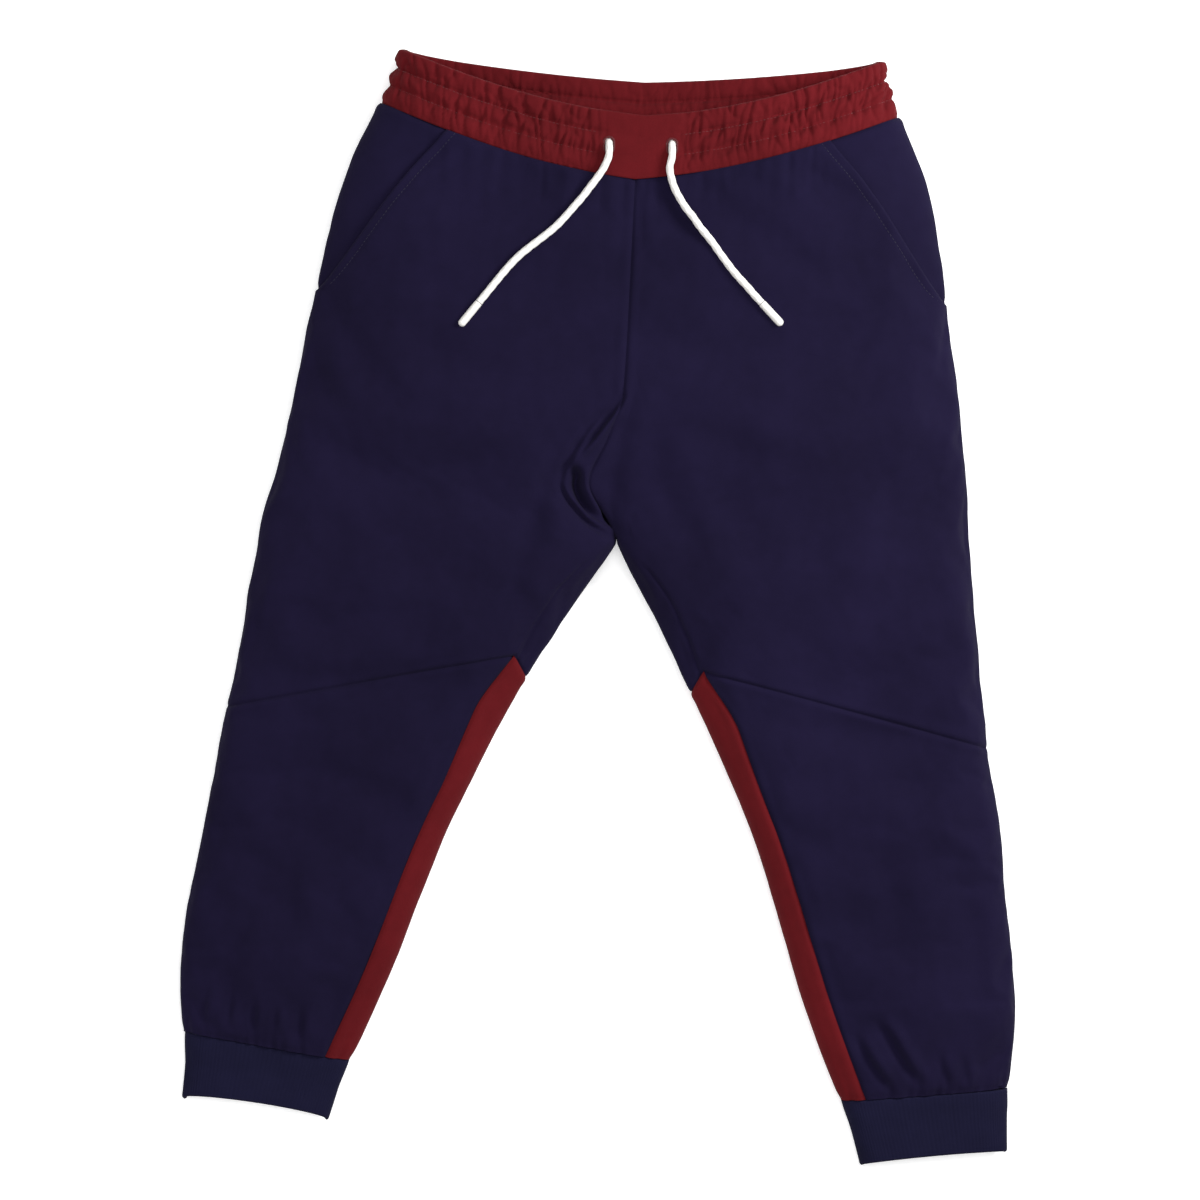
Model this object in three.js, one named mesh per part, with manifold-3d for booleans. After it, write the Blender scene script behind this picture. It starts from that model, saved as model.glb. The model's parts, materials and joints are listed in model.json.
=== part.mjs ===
// Jogger sweatpants with an elastic waist, a drawcord and rib cuffs, lying on their back with the
// front facing up. Millimetres. +Z is up, +Y points from the cuffs to the waist and +X to the
// wearer's left. The origin is on the surface that the trousers lie on, under the middle of them.
//
// Every piece of cloth is a patch of one hollow body. A place on that body is given by its leg, its
// face (front or back), `across` (0 at the outer side fold, 1 at the centre seam or inner fold) and
// `down` (-1 at the waistband's top, 0 at the waist seam, 1 at the knee seam, 2 at the cuff seam).
import * as THREE from 'three';
import { mergeVertices } from 'three/addons/utils/BufferGeometryUtils.js';
import Module from 'manifold-3d';

// Clearances
const SEAM_GAP = 0.4; // between pieces that are sewn edge to edge
const LAYER_GAP = 0.8; // between a piece and a layer that lies under it
const TAPE_GAP = 1.6; // between the cloth and the seam tapes and linings under it
const FOLD_GAP = 0.9; // more of the same where a tape runs round a fold

// Cloth and trim thicknesses
const CLOTH = 2.5;
const SEAM_TAPE = 1.6;
const LINING = 1.3;
const CUFF_WALL = 4;
const ELASTIC = 1.6;

// Widths of the flat trousers
const WAIST_HALF = 229.5;
const UPPER_HIP_HALF = 255;
const HIP_HALF = 277;
const SEAT_HALF = 295;
const THIGH_WIDTH = 312;
const KNEE_WIDTH = 266;
const MID_SHIN_WIDTH = 220;
const LOW_SHIN_WIDTH = 186;
const SHIN_END_WIDTH = 152;
const CUFF_TOP_WIDTH = 144;
const CUFF_HEM_WIDTH = 131;

// Lengths of the flat trousers
const FRONT_RISE = 316; // crotch to waist seam, along the centre front
const BACK_RISE = 352; // the same along the centre back
const BAND_HEIGHT = 56;
const CROTCH_TO_KNEE = 152;
const KNEE_TO_CUFF = 340;
const CUFF_HEIGHT = 58;
const UPPER_HIP_DROP = 60; // below the end of the waist seam
const HIP_DROP = 163;
const SEAT_DROP = 265;
const SIDE_LENGTH = 530; // waist seam to knee seam, along the side

// How far the front stands above the surface, at each level
const BAND_TOP_LOFT = 56;
const WAIST_LOFT = 58;
const SEAT_LOFT = 55;
const THIGH_LOFT = 48;
const KNEE_LOFT = 42;
const MID_SHIN_LOFT = 38;
const LOW_SHIN_LOFT = 34;
const SHIN_END_LOFT = 27;
const CUFF_LOFT = 23;
const FOLD_SHARE = 0.45; // height of the side folds as a share of the loft
const PRESS = 1.15; // how firmly the back is pressed flat against the surface

// How the trousers lie
const CROTCH = new THREE.Vector3(16, 56, 0);
const CENTRE_LEAN = 16; // how far the centre seam's top lies towards the wearer's left
const BAND_LEAN = 9; // the same for the waistband's top, from the seam
const SEAM_SHIFT = 4; // how far the centre seam lies towards the wearer's right
const SEAM_SAG = 10; // dip of the waist seam and the band's edge, on each half
const BACK_SAG = 3; // the same at the back
const KNEE_TIP = 20; // rise of the knee seam to its tip beside the inseam panel
const EASE_DOWN = 0.3; // how far the sag and the tip's rise fade out, in `down`
const LAY = {
  right: { side: -1, waistRise: 71, bandRise: 48, bandInset: 17, thigh: 21.4, shin: 17.4, cuff: 10.4,
    thighTilt: -3.7, kneeTilt: 5.5, shinTilt: -10, hemTilt: -8.5, slack: 12, bow: 9 },
  left: { side: 1, waistRise: 58, bandRise: 50, bandInset: 13, thigh: 15.3, shin: 13, cuff: 8,
    thighTilt: 3.6, kneeTilt: 10.8, shinTilt: -4.2, hemTilt: -5.2, slack: 0, bow: 8 },
};
const CROTCH_DOWN = 0.72;
const DIVE_DOWN = 0.52; // where the centre seam starts to dive between the legs
const MID_SHIN_DOWN = 1.35;
const LOW_SHIN_DOWN = 1.77;

// Waistband
const BAND_WALL = 3.2;
const STITCH_GROOVE = 1.4;
const CORD_DIAMETER = 6.4;
const CORD_PLAY = 1.2;
const CORD_CHANNEL = CORD_DIAMETER + CORD_PLAY;
const BAND_DEPTH = 2 * BAND_WALL + CORD_CHANNEL;
const BAND_ROWS = 3; // channels one above another
const BAND_COLUMNS = 12; // facets along each quarter of the waist
const ELASTIC_SPAN = 0.18;
const ELASTIC_STARTS = { upper_elastic: 0.72, lower_elastic: 0.14 };
const WAIST_TAPE_UP = 0.11; // how far the tape behind the waist seam reaches up the band
const HOLE_SPREAD = 57;
const HOLE_HEIGHT = 2 * CORD_DIAMETER + 4.2;
const HOLE_UP = 0.5;
const HOLE_THREAD = 0.7;

// Pockets
const POCKET_TOP_SHARE = 0.27; // the slant's top end, as a share of the way to the centre seam
const POCKET_DOWN = 0.31;
const POCKET_ROOM = 6.5;
const BAG_DOWN = 0.46;
const BAG_ACROSS = 0.62;
const BAG_START = 0.3;
const FACING_STOP = 0.04; // how far above the slant's lower end the facing stops, in `down`

// Seam tapes, in `across` and `down`
const TAPE_ACROSS = 0.05;
const TAPE_SPAN = 0.08;
const LEG_COLUMNS = 28; // facets around a leg, for its tapes and cuff

// Contrast panel along the inner fold of each shin
const INSEAM_TIP_WIDTH = 11;
const INSEAM_WIDTH = 23;
const INSEAM_FULL_DOWN = 1.12; // where the panel reaches its full width

// Drawcord: each free end's route from its buttonhole to its tip, and the length of the tip
const TIP_LENGTH = 26;
const TIP_DIAMETER = 7.2;
const CORD_SIDES = 8;
const CORD_ROUTES = {
  right: [[9, 392, 61.8], [5, 382, 62], [-1, 373, 62], [-7.5, 364.5, 62], [-14, 356, 61.9],
    [-21, 348, 61.8], [-28, 340, 61.7], [-35.5, 332, 61.6], [-43.5, 325, 61.6], [-52, 318.5, 61.5],
    [-60.5, 312, 61.5], [-69, 305, 61.3], [-76.5, 297.5, 61.2], [-83.5, 289.5, 61],
    [-90.5, 281, 60.8], [-97, 273, 60.6], [-104, 264.5, 60.4]],
  left: [[64, 391, 61.8], [62, 381.5, 62], [63.5, 372, 62], [66.5, 363, 61.9], [71, 354.5, 61.8],
    [76, 346.5, 61.8], [82, 339, 61.7], [87.5, 331, 61.7], [93.5, 323.5, 61.6], [99.5, 316, 61.5],
    [105, 308, 61.4], [110.5, 300.5, 61.3], [116.5, 292.5, 61.1], [122.5, 285.5, 61],
    [129, 278.5, 60.8], [135.5, 271, 60.6], [142, 264, 60.4]],
};

const { lerp, smoothstep, degToRad, clamp } = THREE.MathUtils;
const wasm = await Module();
wasm.setup();

const COLOURS = {
  navy: [0x201b38, 0.95],
  maroon: [0x741c24, 0.9],
  rib: [0x1f1b3a, 0.95],
  lining: [0x24203c, 0.95],
  cord: [0xf7f3ec, 0.8],
  elastic: [0xdedbd4, 0.85],
  thread: [0x5e161d, 0.8],
};
const materials = Object.fromEntries(Object.entries(COLOURS).map(([name, [color, roughness]]) =>
  [name, new THREE.MeshStandardMaterial({ color, roughness, metalness: 0 })]));

const trousers = new THREE.Group();

function add(name, geometry, material) {
  const mesh = new THREE.Mesh(geometry, materials[material]);
  mesh.name = name;
  trousers.add(mesh);
}

// ---- Solids made by bending a plain one ----

function volume(geometry) {
  const { position } = geometry.attributes;
  const corner = [0, 1, 2].map(() => new THREE.Vector3());
  let sum = 0;
  for (let i = 0; i < geometry.index.count; i += 3) {
    corner.forEach((v, k) => v.fromBufferAttribute(position, geometry.index.getX(i + k)));
    sum += corner[0].dot(corner[1].clone().cross(corner[2])) / 6;
  }
  return sum;
}

// Moves every vertex by `place`, joins the shared ones and turns the faces outwards.
function bend(source, place) {
  let geometry = source;
  geometry.deleteAttribute('normal');
  geometry.deleteAttribute('uv');
  const { position } = geometry.attributes;
  for (let i = 0; i < position.count; i += 1) {
    const p = place(position.getX(i), position.getY(i), position.getZ(i));
    position.setXYZ(i, p.x, p.y, p.z);
  }
  geometry = mergeVertices(geometry, 1e-3);
  if (volume(geometry) < 0) {
    const order = geometry.index.array;
    for (let i = 0; i < order.length; i += 3) [order[i + 1], order[i + 2]] = [order[i + 2], order[i + 1]];
  }
  return geometry;
}

// A sheet: place(u, v, depth) with all three from 0 to 1.
function sheet(columns, rows, place) {
  const block = new THREE.BoxGeometry(1, 1, 1, columns, rows, 1);
  return bend(block, (x, y, z) => place(x + 0.5, y + 0.5, z + 0.5));
}

// A closed band: place(turn, v, depth) with all three from 0 to 1.
function loop(segments, rows, place) {
  const radius = 10;
  const profile = [];
  for (let i = 0; i <= rows; i += 1) profile.push(new THREE.Vector2(radius, i / rows));
  for (let i = rows; i >= 0; i -= 1) profile.push(new THREE.Vector2(radius + 1, i / rows));
  profile.push(profile[0].clone());
  const lathe = new THREE.LatheGeometry(profile, segments);
  return bend(lathe, (x, y, z) => {
    const turn = (Math.atan2(x, z) / (2 * Math.PI) + 1) % 1;
    return place(turn, y, Math.hypot(x, z) - radius);
  });
}

// A flat outline run along a third direction: place(x, y, along) with `along` from 0 to 1.
function profiled(outline, steps, place) {
  const shape = new THREE.Shape(outline.map(([x, y]) => new THREE.Vector2(x, y)));
  const block = new THREE.ExtrudeGeometry(shape, { depth: 1, steps, bevelEnabled: false });
  return bend(block, place);
}

function tube(points, radius, steps) {
  const round = new THREE.Shape();
  for (let i = 0; i < CORD_SIDES; i += 1) {
    const angle = (2 * Math.PI * i) / CORD_SIDES;
    const corner = [radius * Math.cos(angle), radius * Math.sin(angle)];
    if (i === 0) round.moveTo(...corner);
    else round.lineTo(...corner);
  }
  const path = new THREE.CatmullRomCurve3(points);
  return bend(new THREE.ExtrudeGeometry(round, { steps, extrudePath: path }),
    (x, y, z) => new THREE.Vector3(x, y, z));
}

// A round strand with a section at each of the points, for bends that need chosen sections.
function strand(points, radius) {
  const last = points.length - 1;
  const frames = [];
  let side = new THREE.Vector3(0, 0, 1);
  points.forEach((point, i) => {
    const heading = points[Math.min(last, i + 1)].clone().sub(points[Math.max(0, i - 1)]).normalize();
    side = side.clone().addScaledVector(heading, -side.dot(heading)).normalize();
    frames.push({ point, side, other: heading.clone().cross(side) });
  });
  const round = [];
  for (let i = 0; i < CORD_SIDES; i += 1) {
    const angle = (2 * Math.PI * (i + 0.5)) / CORD_SIDES;
    round.push([radius * Math.cos(angle), radius * Math.sin(angle)]);
  }
  return profiled(round, last, (x, y, along) => {
    const { point, side: a, other: b } = frames[Math.round(along * last)];
    return point.clone().addScaledVector(a, x).addScaledVector(b, y);
  });
}

function solid(geometry) {
  return new wasm.Manifold(new wasm.Mesh({
    numProp: 3,
    vertProperties: new Float32Array(geometry.attributes.position.array),
    triVerts: new Uint32Array(geometry.index.array),
  }));
}

function cut(geometry, tools) {
  let body = solid(geometry);
  for (const tool of tools) body = body.subtract(solid(tool));
  const mesh = body.getMesh();
  const result = new THREE.BufferGeometry();
  result.setAttribute('position', new THREE.BufferAttribute(new Float32Array(mesh.vertProperties), 3));
  result.setIndex(new THREE.BufferAttribute(new Uint32Array(mesh.triVerts), 1));
  return result;
}

// ---- The hollow body ----

// A smooth curve through stops [parameter, x, y, z], read at a parameter.
function through(stops) {
  const curve = new THREE.CatmullRomCurve3(stops.map((stop) => new THREE.Vector3(...stop.slice(1))));
  return (value) => {
    const next = clamp(stops.findIndex((stop) => stop[0] >= value), 1, stops.length - 1);
    const [from, to] = [stops[next - 1][0], stops[next][0]];
    return curve.getPoint((next - 1 + (value - from) / (to - from)) / (stops.length - 1));
  };
}

function makeLeg(lay) {
  const { side } = lay;
  const centreTop = CROTCH.clone().add(new THREE.Vector3(CENTRE_LEAN, FRONT_RISE, 0));
  const backTop = CROTCH.clone().add(new THREE.Vector3(CENTRE_LEAN, BACK_RISE, 0));
  const bandTop = new THREE.Vector3(BAND_LEAN, BAND_HEIGHT, 0);
  const towards = (angle, distance) => new THREE.Vector3(
    side * Math.sin(degToRad(angle)) * distance, -Math.cos(degToRad(angle)) * distance, 0);
  const half = (width, tilt) => new THREE.Vector3(
    side * Math.cos(degToRad(tilt)) * width / 2, -Math.sin(degToRad(tilt)) * width / 2, 0);

  const waistEnd = centreTop.clone();
  waistEnd.x += side * WAIST_HALF + SEAM_SHIFT;
  waistEnd.y += lay.waistRise;
  const below = (drop, reach) => {
    const seamX = lerp(centreTop.x, CROTCH.x, drop / (FRONT_RISE + lay.waistRise));
    return [seamX + side * reach + SEAM_SHIFT, waistEnd.y - drop];
  };
  const thigh = CROTCH.clone().add(half(THIGH_WIDTH, lay.thighTilt));
  const knee = thigh.clone().add(towards(lay.thigh, CROTCH_TO_KNEE));
  const shinLength = KNEE_TO_CUFF - lay.slack;
  const shinAt = (share) => knee.clone().add(towards(lay.shin, shinLength * share))
    .add(new THREE.Vector3(side * lay.bow * Math.sin(Math.PI * share), 0, 0));
  const shinTilt = (share) => lerp(lay.kneeTilt, lay.shinTilt, share);
  const shinStops = [[MID_SHIN_DOWN, MID_SHIN_WIDTH], [LOW_SHIN_DOWN, LOW_SHIN_WIDTH],
    [2, SHIN_END_WIDTH]];
  const shinEdge = (sign) => shinStops.map(([down, width]) => {
    const p = shinAt(down - 1).addScaledVector(half(width, shinTilt(down - 1)), sign);
    return [down, p.x, p.y, 0];
  });
  const at = (down, p) => [down, p.x, p.y, 0];
  const kneeHalf = half(KNEE_WIDTH, lay.kneeTilt);
  const outer = through([
    [-1, waistEnd.x - side * lay.bandInset, waistEnd.y + lay.bandRise, 0],
    at(0, waistEnd),
    [UPPER_HIP_DROP / SIDE_LENGTH, ...below(UPPER_HIP_DROP, UPPER_HIP_HALF), 0],
    [HIP_DROP / SIDE_LENGTH, ...below(HIP_DROP, HIP_HALF), 0],
    [SEAT_DROP / SIDE_LENGTH, ...below(SEAT_DROP, SEAT_HALF), 0],
    at(CROTCH_DOWN, thigh.clone().add(half(THIGH_WIDTH, lay.thighTilt))),
    at(1, knee.clone().add(kneeHalf)),
    ...shinEdge(1),
  ]);
  const inLeg = through([
    at(CROTCH_DOWN, CROTCH),
    at(1, knee.clone().sub(kneeHalf)),
    ...shinEdge(-1),
  ]);
  const inner = (down, face, gap) => {
    const top = face > 0 ? centreTop : backTop;
    const p = down < 0 ? top.clone().addScaledVector(bandTop, -down)
      : down < CROTCH_DOWN ? top.clone().lerp(CROTCH, down / CROTCH_DOWN)
        : inLeg(down);
    p.x += side * gap / 2;
    return p;
  };
  const cuffTop = shinAt(1).add(towards(lay.cuff, SEAM_GAP));
  const cuffHem = shinAt(1).add(towards(lay.cuff, CUFF_HEIGHT));
  const cuff = (v) => ({
    outer: cuffTop.clone().add(half(CUFF_TOP_WIDTH, lay.shinTilt))
      .lerp(cuffHem.clone().add(half(CUFF_HEM_WIDTH, lay.hemTilt)), v),
    inner: cuffTop.clone().sub(half(CUFF_TOP_WIDTH, lay.shinTilt))
      .lerp(cuffHem.clone().sub(half(CUFF_HEM_WIDTH, lay.hemTilt)), v),
    loft: CUFF_LOFT,
    legness: 1,
    rise: () => 0,
  });
  return { side, outer, inner, cuff };
}

const loftAt = through([[-1, BAND_TOP_LOFT, 0, 0], [0, WAIST_LOFT, 0, 0], [DIVE_DOWN, SEAT_LOFT, 0, 0],
  [CROTCH_DOWN, THIGH_LOFT, 0, 0], [1, KNEE_LOFT, 0, 0], [MID_SHIN_DOWN, MID_SHIN_LOFT, 0, 0],
  [LOW_SHIN_DOWN, LOW_SHIN_LOFT, 0, 0], [2, SHIN_END_LOFT, 0, 0]]);

// Share of the chord covered, and share of the height reached, at a place across a section. A torso
// section is half a lens that ends at the centre seam, and a leg's is a whole one.
function profile(across, legness) {
  const torso = (Math.PI / 2) * across;
  const leg = Math.PI * across;
  const height = (angle) => Math.sin(angle) * (2 - Math.sin(angle));
  return [lerp(1 - Math.cos(torso), (1 - Math.cos(leg)) / 2, legness),
    lerp(height(torso), height(leg), legness)];
}

const acrossTorso = (share) => (Math.acos(1 - share) * 2) / Math.PI;
const acrossLeg = (share) => Math.acos(1 - 2 * share) / Math.PI;

function inseamWidth(down) {
  return lerp(INSEAM_TIP_WIDTH, INSEAM_WIDTH, smoothstep(down, 1, INSEAM_FULL_DOWN));
}

function chordLength(leg, down) {
  return leg.outer(down).distanceTo(leg.inner(down, 1, 0));
}

function sectionAt(leg, down, face, gap) {
  const tip = 1 - INSEAM_TIP_WIDTH / KNEE_WIDTH;
  const tipRise = KNEE_TIP * (1 - smoothstep(Math.abs(down - 1), 0, EASE_DOWN));
  const dip = face > 0 ? SEAM_SAG : BACK_SAG;
  const sag = dip * Math.max(0, 1 - Math.max(0, down) / EASE_DOWN) ** 2;
  return {
    outer: leg.outer(down),
    inner: leg.inner(down, face, gap),
    loft: loftAt(down).x,
    legness: smoothstep(down, DIVE_DOWN, CROTCH_DOWN),
    rise: (share) => tipRise * Math.min(share / tip, (1 - share) / (1 - tip)) - sag * 4 * share * (1 - share),
  };
}

// A point of a section, `depth` inside its outer face.
function onSection(section, face, across, depth, gap) {
  const fold = section.loft * FOLD_SHARE;
  const surface = (a) => {
    const [share, height] = profile(a, section.legness);
    const p = section.outer.clone().lerp(section.inner, share);
    p.y += section.rise(share);
    p.z = face > 0 ? lerp(fold + gap / 2, section.loft, height)
      : Math.max(0, (fold - gap / 2) * (1 - PRESS * height));
    return p;
  };
  const p = surface(across);
  const step = 0.002;
  const along = surface(Math.min(1, across + step)).sub(surface(Math.max(0, across - step)));
  const chord = section.inner.clone().sub(section.outer).setZ(0).normalize();
  const run = along.dot(chord);
  const length = Math.hypot(run, along.z);
  p.addScaledVector(chord, (depth * face * along.z) / length);
  p.z -= (depth * face * run) / length;
  return p;
}

function onBody(leg, face, across, down, depth, gap = SEAM_GAP) {
  return onSection(sectionAt(leg, down, face, gap), face, across, depth, gap);
}

const legs = { right: makeLeg(LAY.right), left: makeLeg(LAY.left) };
const EDGE = SEAM_GAP / 2 / KNEE_TO_CUFF; // half a seam gap in `down`, on the cloth
const BAND_EDGE = SEAM_GAP / BAND_HEIGHT;

// ---- Waistband ----

// Around the whole waist: right front, left front, left back, right back.
function aroundWaist(turn, down, depth) {
  const quarter = Math.min(3, Math.floor(turn * 4));
  const share = turn * 4 - quarter;
  const leg = quarter === 0 || quarter === 3 ? legs.right : legs.left;
  const across = quarter % 2 === 0 ? share : 1 - share;
  return onBody(leg, quarter < 2 ? 1 : -1, across, down, depth, 0);
}

function bandOutline() {
  const outline = [];
  const points = 3 * BAND_ROWS;
  for (let i = 0; i <= points; i += 1) {
    const up = lerp(BAND_EDGE, 1, i / points);
    outline.push([STITCH_GROOVE * (1 - Math.abs(Math.sin((Math.PI * BAND_ROWS * i) / points))), up]);
  }
  const roof = 1 - BAND_WALL / BAND_HEIGHT;
  outline.push([BAND_DEPTH, 1], [BAND_DEPTH, BAND_EDGE], [BAND_DEPTH - BAND_WALL, BAND_EDGE]);
  outline.push([BAND_DEPTH - BAND_WALL, roof], [BAND_WALL, roof], [BAND_WALL, BAND_EDGE]);
  return outline;
}

function bandHalf(face) {
  return profiled(bandOutline(), 2 * BAND_COLUMNS, (depth, up, along) => {
    const leg = along <= 0.5 ? legs.right : legs.left;
    const across = along <= 0.5 ? 2 * along : 2 - 2 * along;
    const p = onBody(leg, face, across, -up, depth, 0);
    p.z += face * (SEAM_GAP / 2) * (1 - smoothstep(across, 0, 0.5));
    const sideSeam = loftAt(-up).x * FOLD_SHARE;
    p.z = sideSeam + face * Math.max(SEAM_GAP / 2, face * (p.z - sideSeam));
    return p;
  });
}

function holeCentre(side) {
  const leg = side < 0 ? legs.right : legs.left;
  const reach = HOLE_SPREAD / 2 / chordLength(leg, -HOLE_UP);
  return onBody(leg, 1, acrossTorso(1 - reach), -HOLE_UP, 0, 0);
}

// An upright stadium, as a buttonhole is, run down through the band's outer layer.
function stadium(width, height, top, bottom) {
  const shape = new THREE.Shape();
  const radius = width / 2;
  const straight = (height - width) / 2;
  shape.absarc(0, straight, radius, 0, Math.PI, false);
  shape.absarc(0, -straight, radius, Math.PI, 2 * Math.PI, false);
  return { shape, depth: top - bottom, bottom };
}

function stadiumSolid({ shape, depth, bottom }, centre) {
  const block = new THREE.ExtrudeGeometry(shape, { depth, bevelEnabled: false, curveSegments: 4 });
  return bend(block, (x, y, z) => new THREE.Vector3(centre.x + x, centre.y + y, centre.z + bottom + z));
}

const THREAD_BORE = CORD_DIAMETER + 2 * SEAM_GAP;
const THREAD_WIDTH = THREAD_BORE + 2 * HOLE_THREAD;
const HOLE_WIDTH = THREAD_WIDTH + 2 * SEAM_GAP;

function buttonhole(centre) {
  const top = SEAM_GAP;
  const ring = stadium(THREAD_WIDTH, HOLE_HEIGHT - 2 * SEAM_GAP, top, -BAND_WALL);
  const bore = stadium(THREAD_BORE, HOLE_HEIGHT - 2 * SEAM_GAP - 2 * HOLE_THREAD, 2 * top, -2 * BAND_WALL);
  return cut(stadiumSolid(ring, centre), [stadiumSolid(bore, centre)]);
}

const holes = { right: holeCentre(-1), left: holeCentre(1) };
const holeCutters = Object.values(holes).map((centre) =>
  stadiumSolid(stadium(HOLE_WIDTH, HOLE_HEIGHT, BAND_WALL, -BAND_WALL - CORD_CHANNEL / 4), centre));
add('waistband_front', cut(bandHalf(1), holeCutters), 'maroon');
add('waistband_back', bandHalf(-1), 'maroon');
const channelMiddle = BAND_WALL + CORD_CHANNEL / 2;
for (const [name, from] of Object.entries(ELASTIC_STARTS)) {
  add(name, loop(4 * BAND_COLUMNS, 1, (turn, v, d) =>
    aroundWaist(turn, -from - v * ELASTIC_SPAN, channelMiddle + (d - 0.5) * ELASTIC)), 'elastic');
}
const waistTape = BAND_WALL + LAYER_GAP;
add('waist_seam', loop(4 * BAND_COLUMNS, 1, (turn, v, d) =>
  aroundWaist(turn, -lerp(BAND_EDGE, WAIST_TAPE_UP, v), waistTape + d * SEAM_TAPE)), 'navy');

// ---- Drawcord ----

function cordRoute(name) {
  return CORD_ROUTES[name].map((point) => new THREE.Vector3(...point));
}

// The cord's rise from the channel: outwards from the hole, up the band and up from the channel's
// middle, in cord diameters
const RISE_SHAPE = [[1.72, 0.16, 0], [0.78, 0.34, 0], [0.22, 0.41, 0.19], [0, 0.19, 0.53]];

// From the channel up through a buttonhole, ending where the free end starts.
function riseThrough(name) {
  const hole = holes[name];
  const [start, next] = cordRoute(name);
  const heading = next.clone().sub(start).normalize();
  const from = name === 'right' ? -1 : 1;
  const low = hole.z - channelMiddle;
  const rise = RISE_SHAPE.map(([out, up, height]) => new THREE.Vector3(
    hole.x + from * out * CORD_DIAMETER, hole.y + up * CORD_DIAMETER, low + height * CORD_DIAMETER));
  return [
    ...rise,
    new THREE.Vector3(hole.x, hole.y - 0.31 * CORD_DIAMETER, hole.z + SEAM_GAP),
    start.clone().addScaledVector(heading, -SEAM_GAP - 0.78 * CORD_DIAMETER),
    start.clone().addScaledVector(heading, -SEAM_GAP),
  ];
}

// From one buttonhole round the back to the other, inside the middle channel.
function tunnelRun() {
  const points = riseThrough('right').reverse();
  const columns = 4 * BAND_COLUMNS;
  const first = BAND_COLUMNS - 2;
  for (let i = first; i >= first + 4 - columns; i -= 1) {
    points.push(aroundWaist((i / columns + 1) % 1, -0.5, channelMiddle));
  }
  points.push(...riseThrough('left'));
  return points;
}

add('drawcord_tunnel_run', strand(tunnelRun(), CORD_DIAMETER / 2), 'cord');
for (const name of ['right', 'left']) {
  const route = cordRoute(name);
  add(`drawcord_${name}_end`, tube(route, CORD_DIAMETER / 2, 14), 'cord');
  const last = route[route.length - 1];
  const heading = last.clone().sub(route[route.length - 2]).normalize();
  const start = last.clone().addScaledVector(heading, SEAM_GAP);
  const radius = TIP_DIAMETER / 2;
  const outline = [new THREE.Vector2(0, 0), new THREE.Vector2(radius, 0)];
  for (let i = 0; i <= 4; i += 1) {
    const angle = (Math.PI / 2) * (i / 4);
    outline.push(new THREE.Vector2(radius * Math.cos(angle), TIP_LENGTH - radius * (1 - Math.sin(angle))));
  }
  const turnTo = new THREE.Quaternion().setFromUnitVectors(new THREE.Vector3(0, 1, 0), heading);
  add(`drawcord_${name}_tip`, bend(new THREE.LatheGeometry(outline, 12), (x, y, z) =>
    new THREE.Vector3(x, y, z).applyQuaternion(turnTo).add(start)), 'cord');
  add(`${name}_buttonhole`, buttonhole(holes[name]), 'thread');
}

// ---- Centre seams ----

const TAPE_DEPTH = CLOTH + TAPE_GAP;

function centreSeam(face) {
  return sheet(4, 14, (u, v, d) => {
    const leg = u < 0.5 ? legs.right : legs.left;
    const across = 1 - Math.abs(2 * u - 1) * TAPE_ACROSS;
    return onBody(leg, face, across, lerp(0.03, DIVE_DOWN - 0.04, v), TAPE_DEPTH + d * SEAM_TAPE, 0);
  });
}

add('centre_front_seam', centreSeam(1), 'navy');
add('centre_back_seam', centreSeam(-1), 'navy');

// ---- Both legs ----

const TIP_ACROSS = acrossLeg(1 - INSEAM_TIP_WIDTH / KNEE_WIDTH);

// Columns of an upper panel: the last two lie between the knee seam's tip and the inner edge.
function panelColumn(u, columns) {
  const tipColumn = (columns - 2) / columns;
  return u <= tipColumn ? (u / tipColumn) * TIP_ACROSS
    : lerp(TIP_ACROSS, 1, (u - tipColumn) / (1 - tipColumn));
}

function pocketEdge(down) {
  const left = Math.max(0, 1 - down / POCKET_DOWN);
  return acrossTorso(POCKET_TOP_SHARE * left ** 0.8);
}

function inseamEdge(leg, down, shift) {
  return acrossLeg(1 - (inseamWidth(down) + shift) / chordLength(leg, down));
}

// Across a fold from the front to the back: `span` to each side of it.
function overFold(leg, atInner, span, u, down, depth) {
  const reach = Math.abs(2 * u - 1) * span;
  return onBody(leg, u < 0.5 ? 1 : -1, atInner ? 1 - reach : reach, down, depth, 0);
}

function aroundLeg(leg, turn, down, depth) {
  const across = turn < 0.5 ? 2 * turn : 2 - 2 * turn;
  return onBody(leg, turn < 0.5 ? 1 : -1, across, down, depth, 0);
}

function upperPanel(leg, face) {
  const columns = 12;
  return sheet(columns, 16, (u, v, d) => {
    const down = lerp(EDGE, 1 - EDGE, v);
    const edge = face > 0 ? pocketEdge(down) : 0;
    return onBody(leg, face, lerp(edge, 1, panelColumn(u, columns)), down, d * CLOTH);
  });
}

function shinPanel(leg, face) {
  return sheet(10, 9, (u, v, d) => {
    const down = lerp(1 + EDGE, 2 - EDGE, v);
    return onBody(leg, face, u * inseamEdge(leg, down, SEAM_GAP / 2), down, d * CLOTH);
  });
}

function inseamPanel(leg) {
  return sheet(4, 9, (u, v, d) => {
    const down = lerp(1 + EDGE, 2 - EDGE, v);
    return overFold(leg, true, 1 - inseamEdge(leg, down, -SEAM_GAP / 2), u, down, d * CLOTH);
  });
}

const FACING_DEPTH = TAPE_DEPTH + LINING + POCKET_ROOM;

function pocketFacing(leg) {
  return sheet(8, 7, (u, v, d) => {
    const down = lerp(EDGE, POCKET_DOWN - FACING_STOP, v);
    const edge = pocketEdge(down);
    const across = u * (edge + 0.1);
    const sink = FACING_DEPTH * smoothstep(across, 0, 0.85 * edge);
    return onBody(leg, 1, across, down, sink + d * CLOTH);
  });
}

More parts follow.
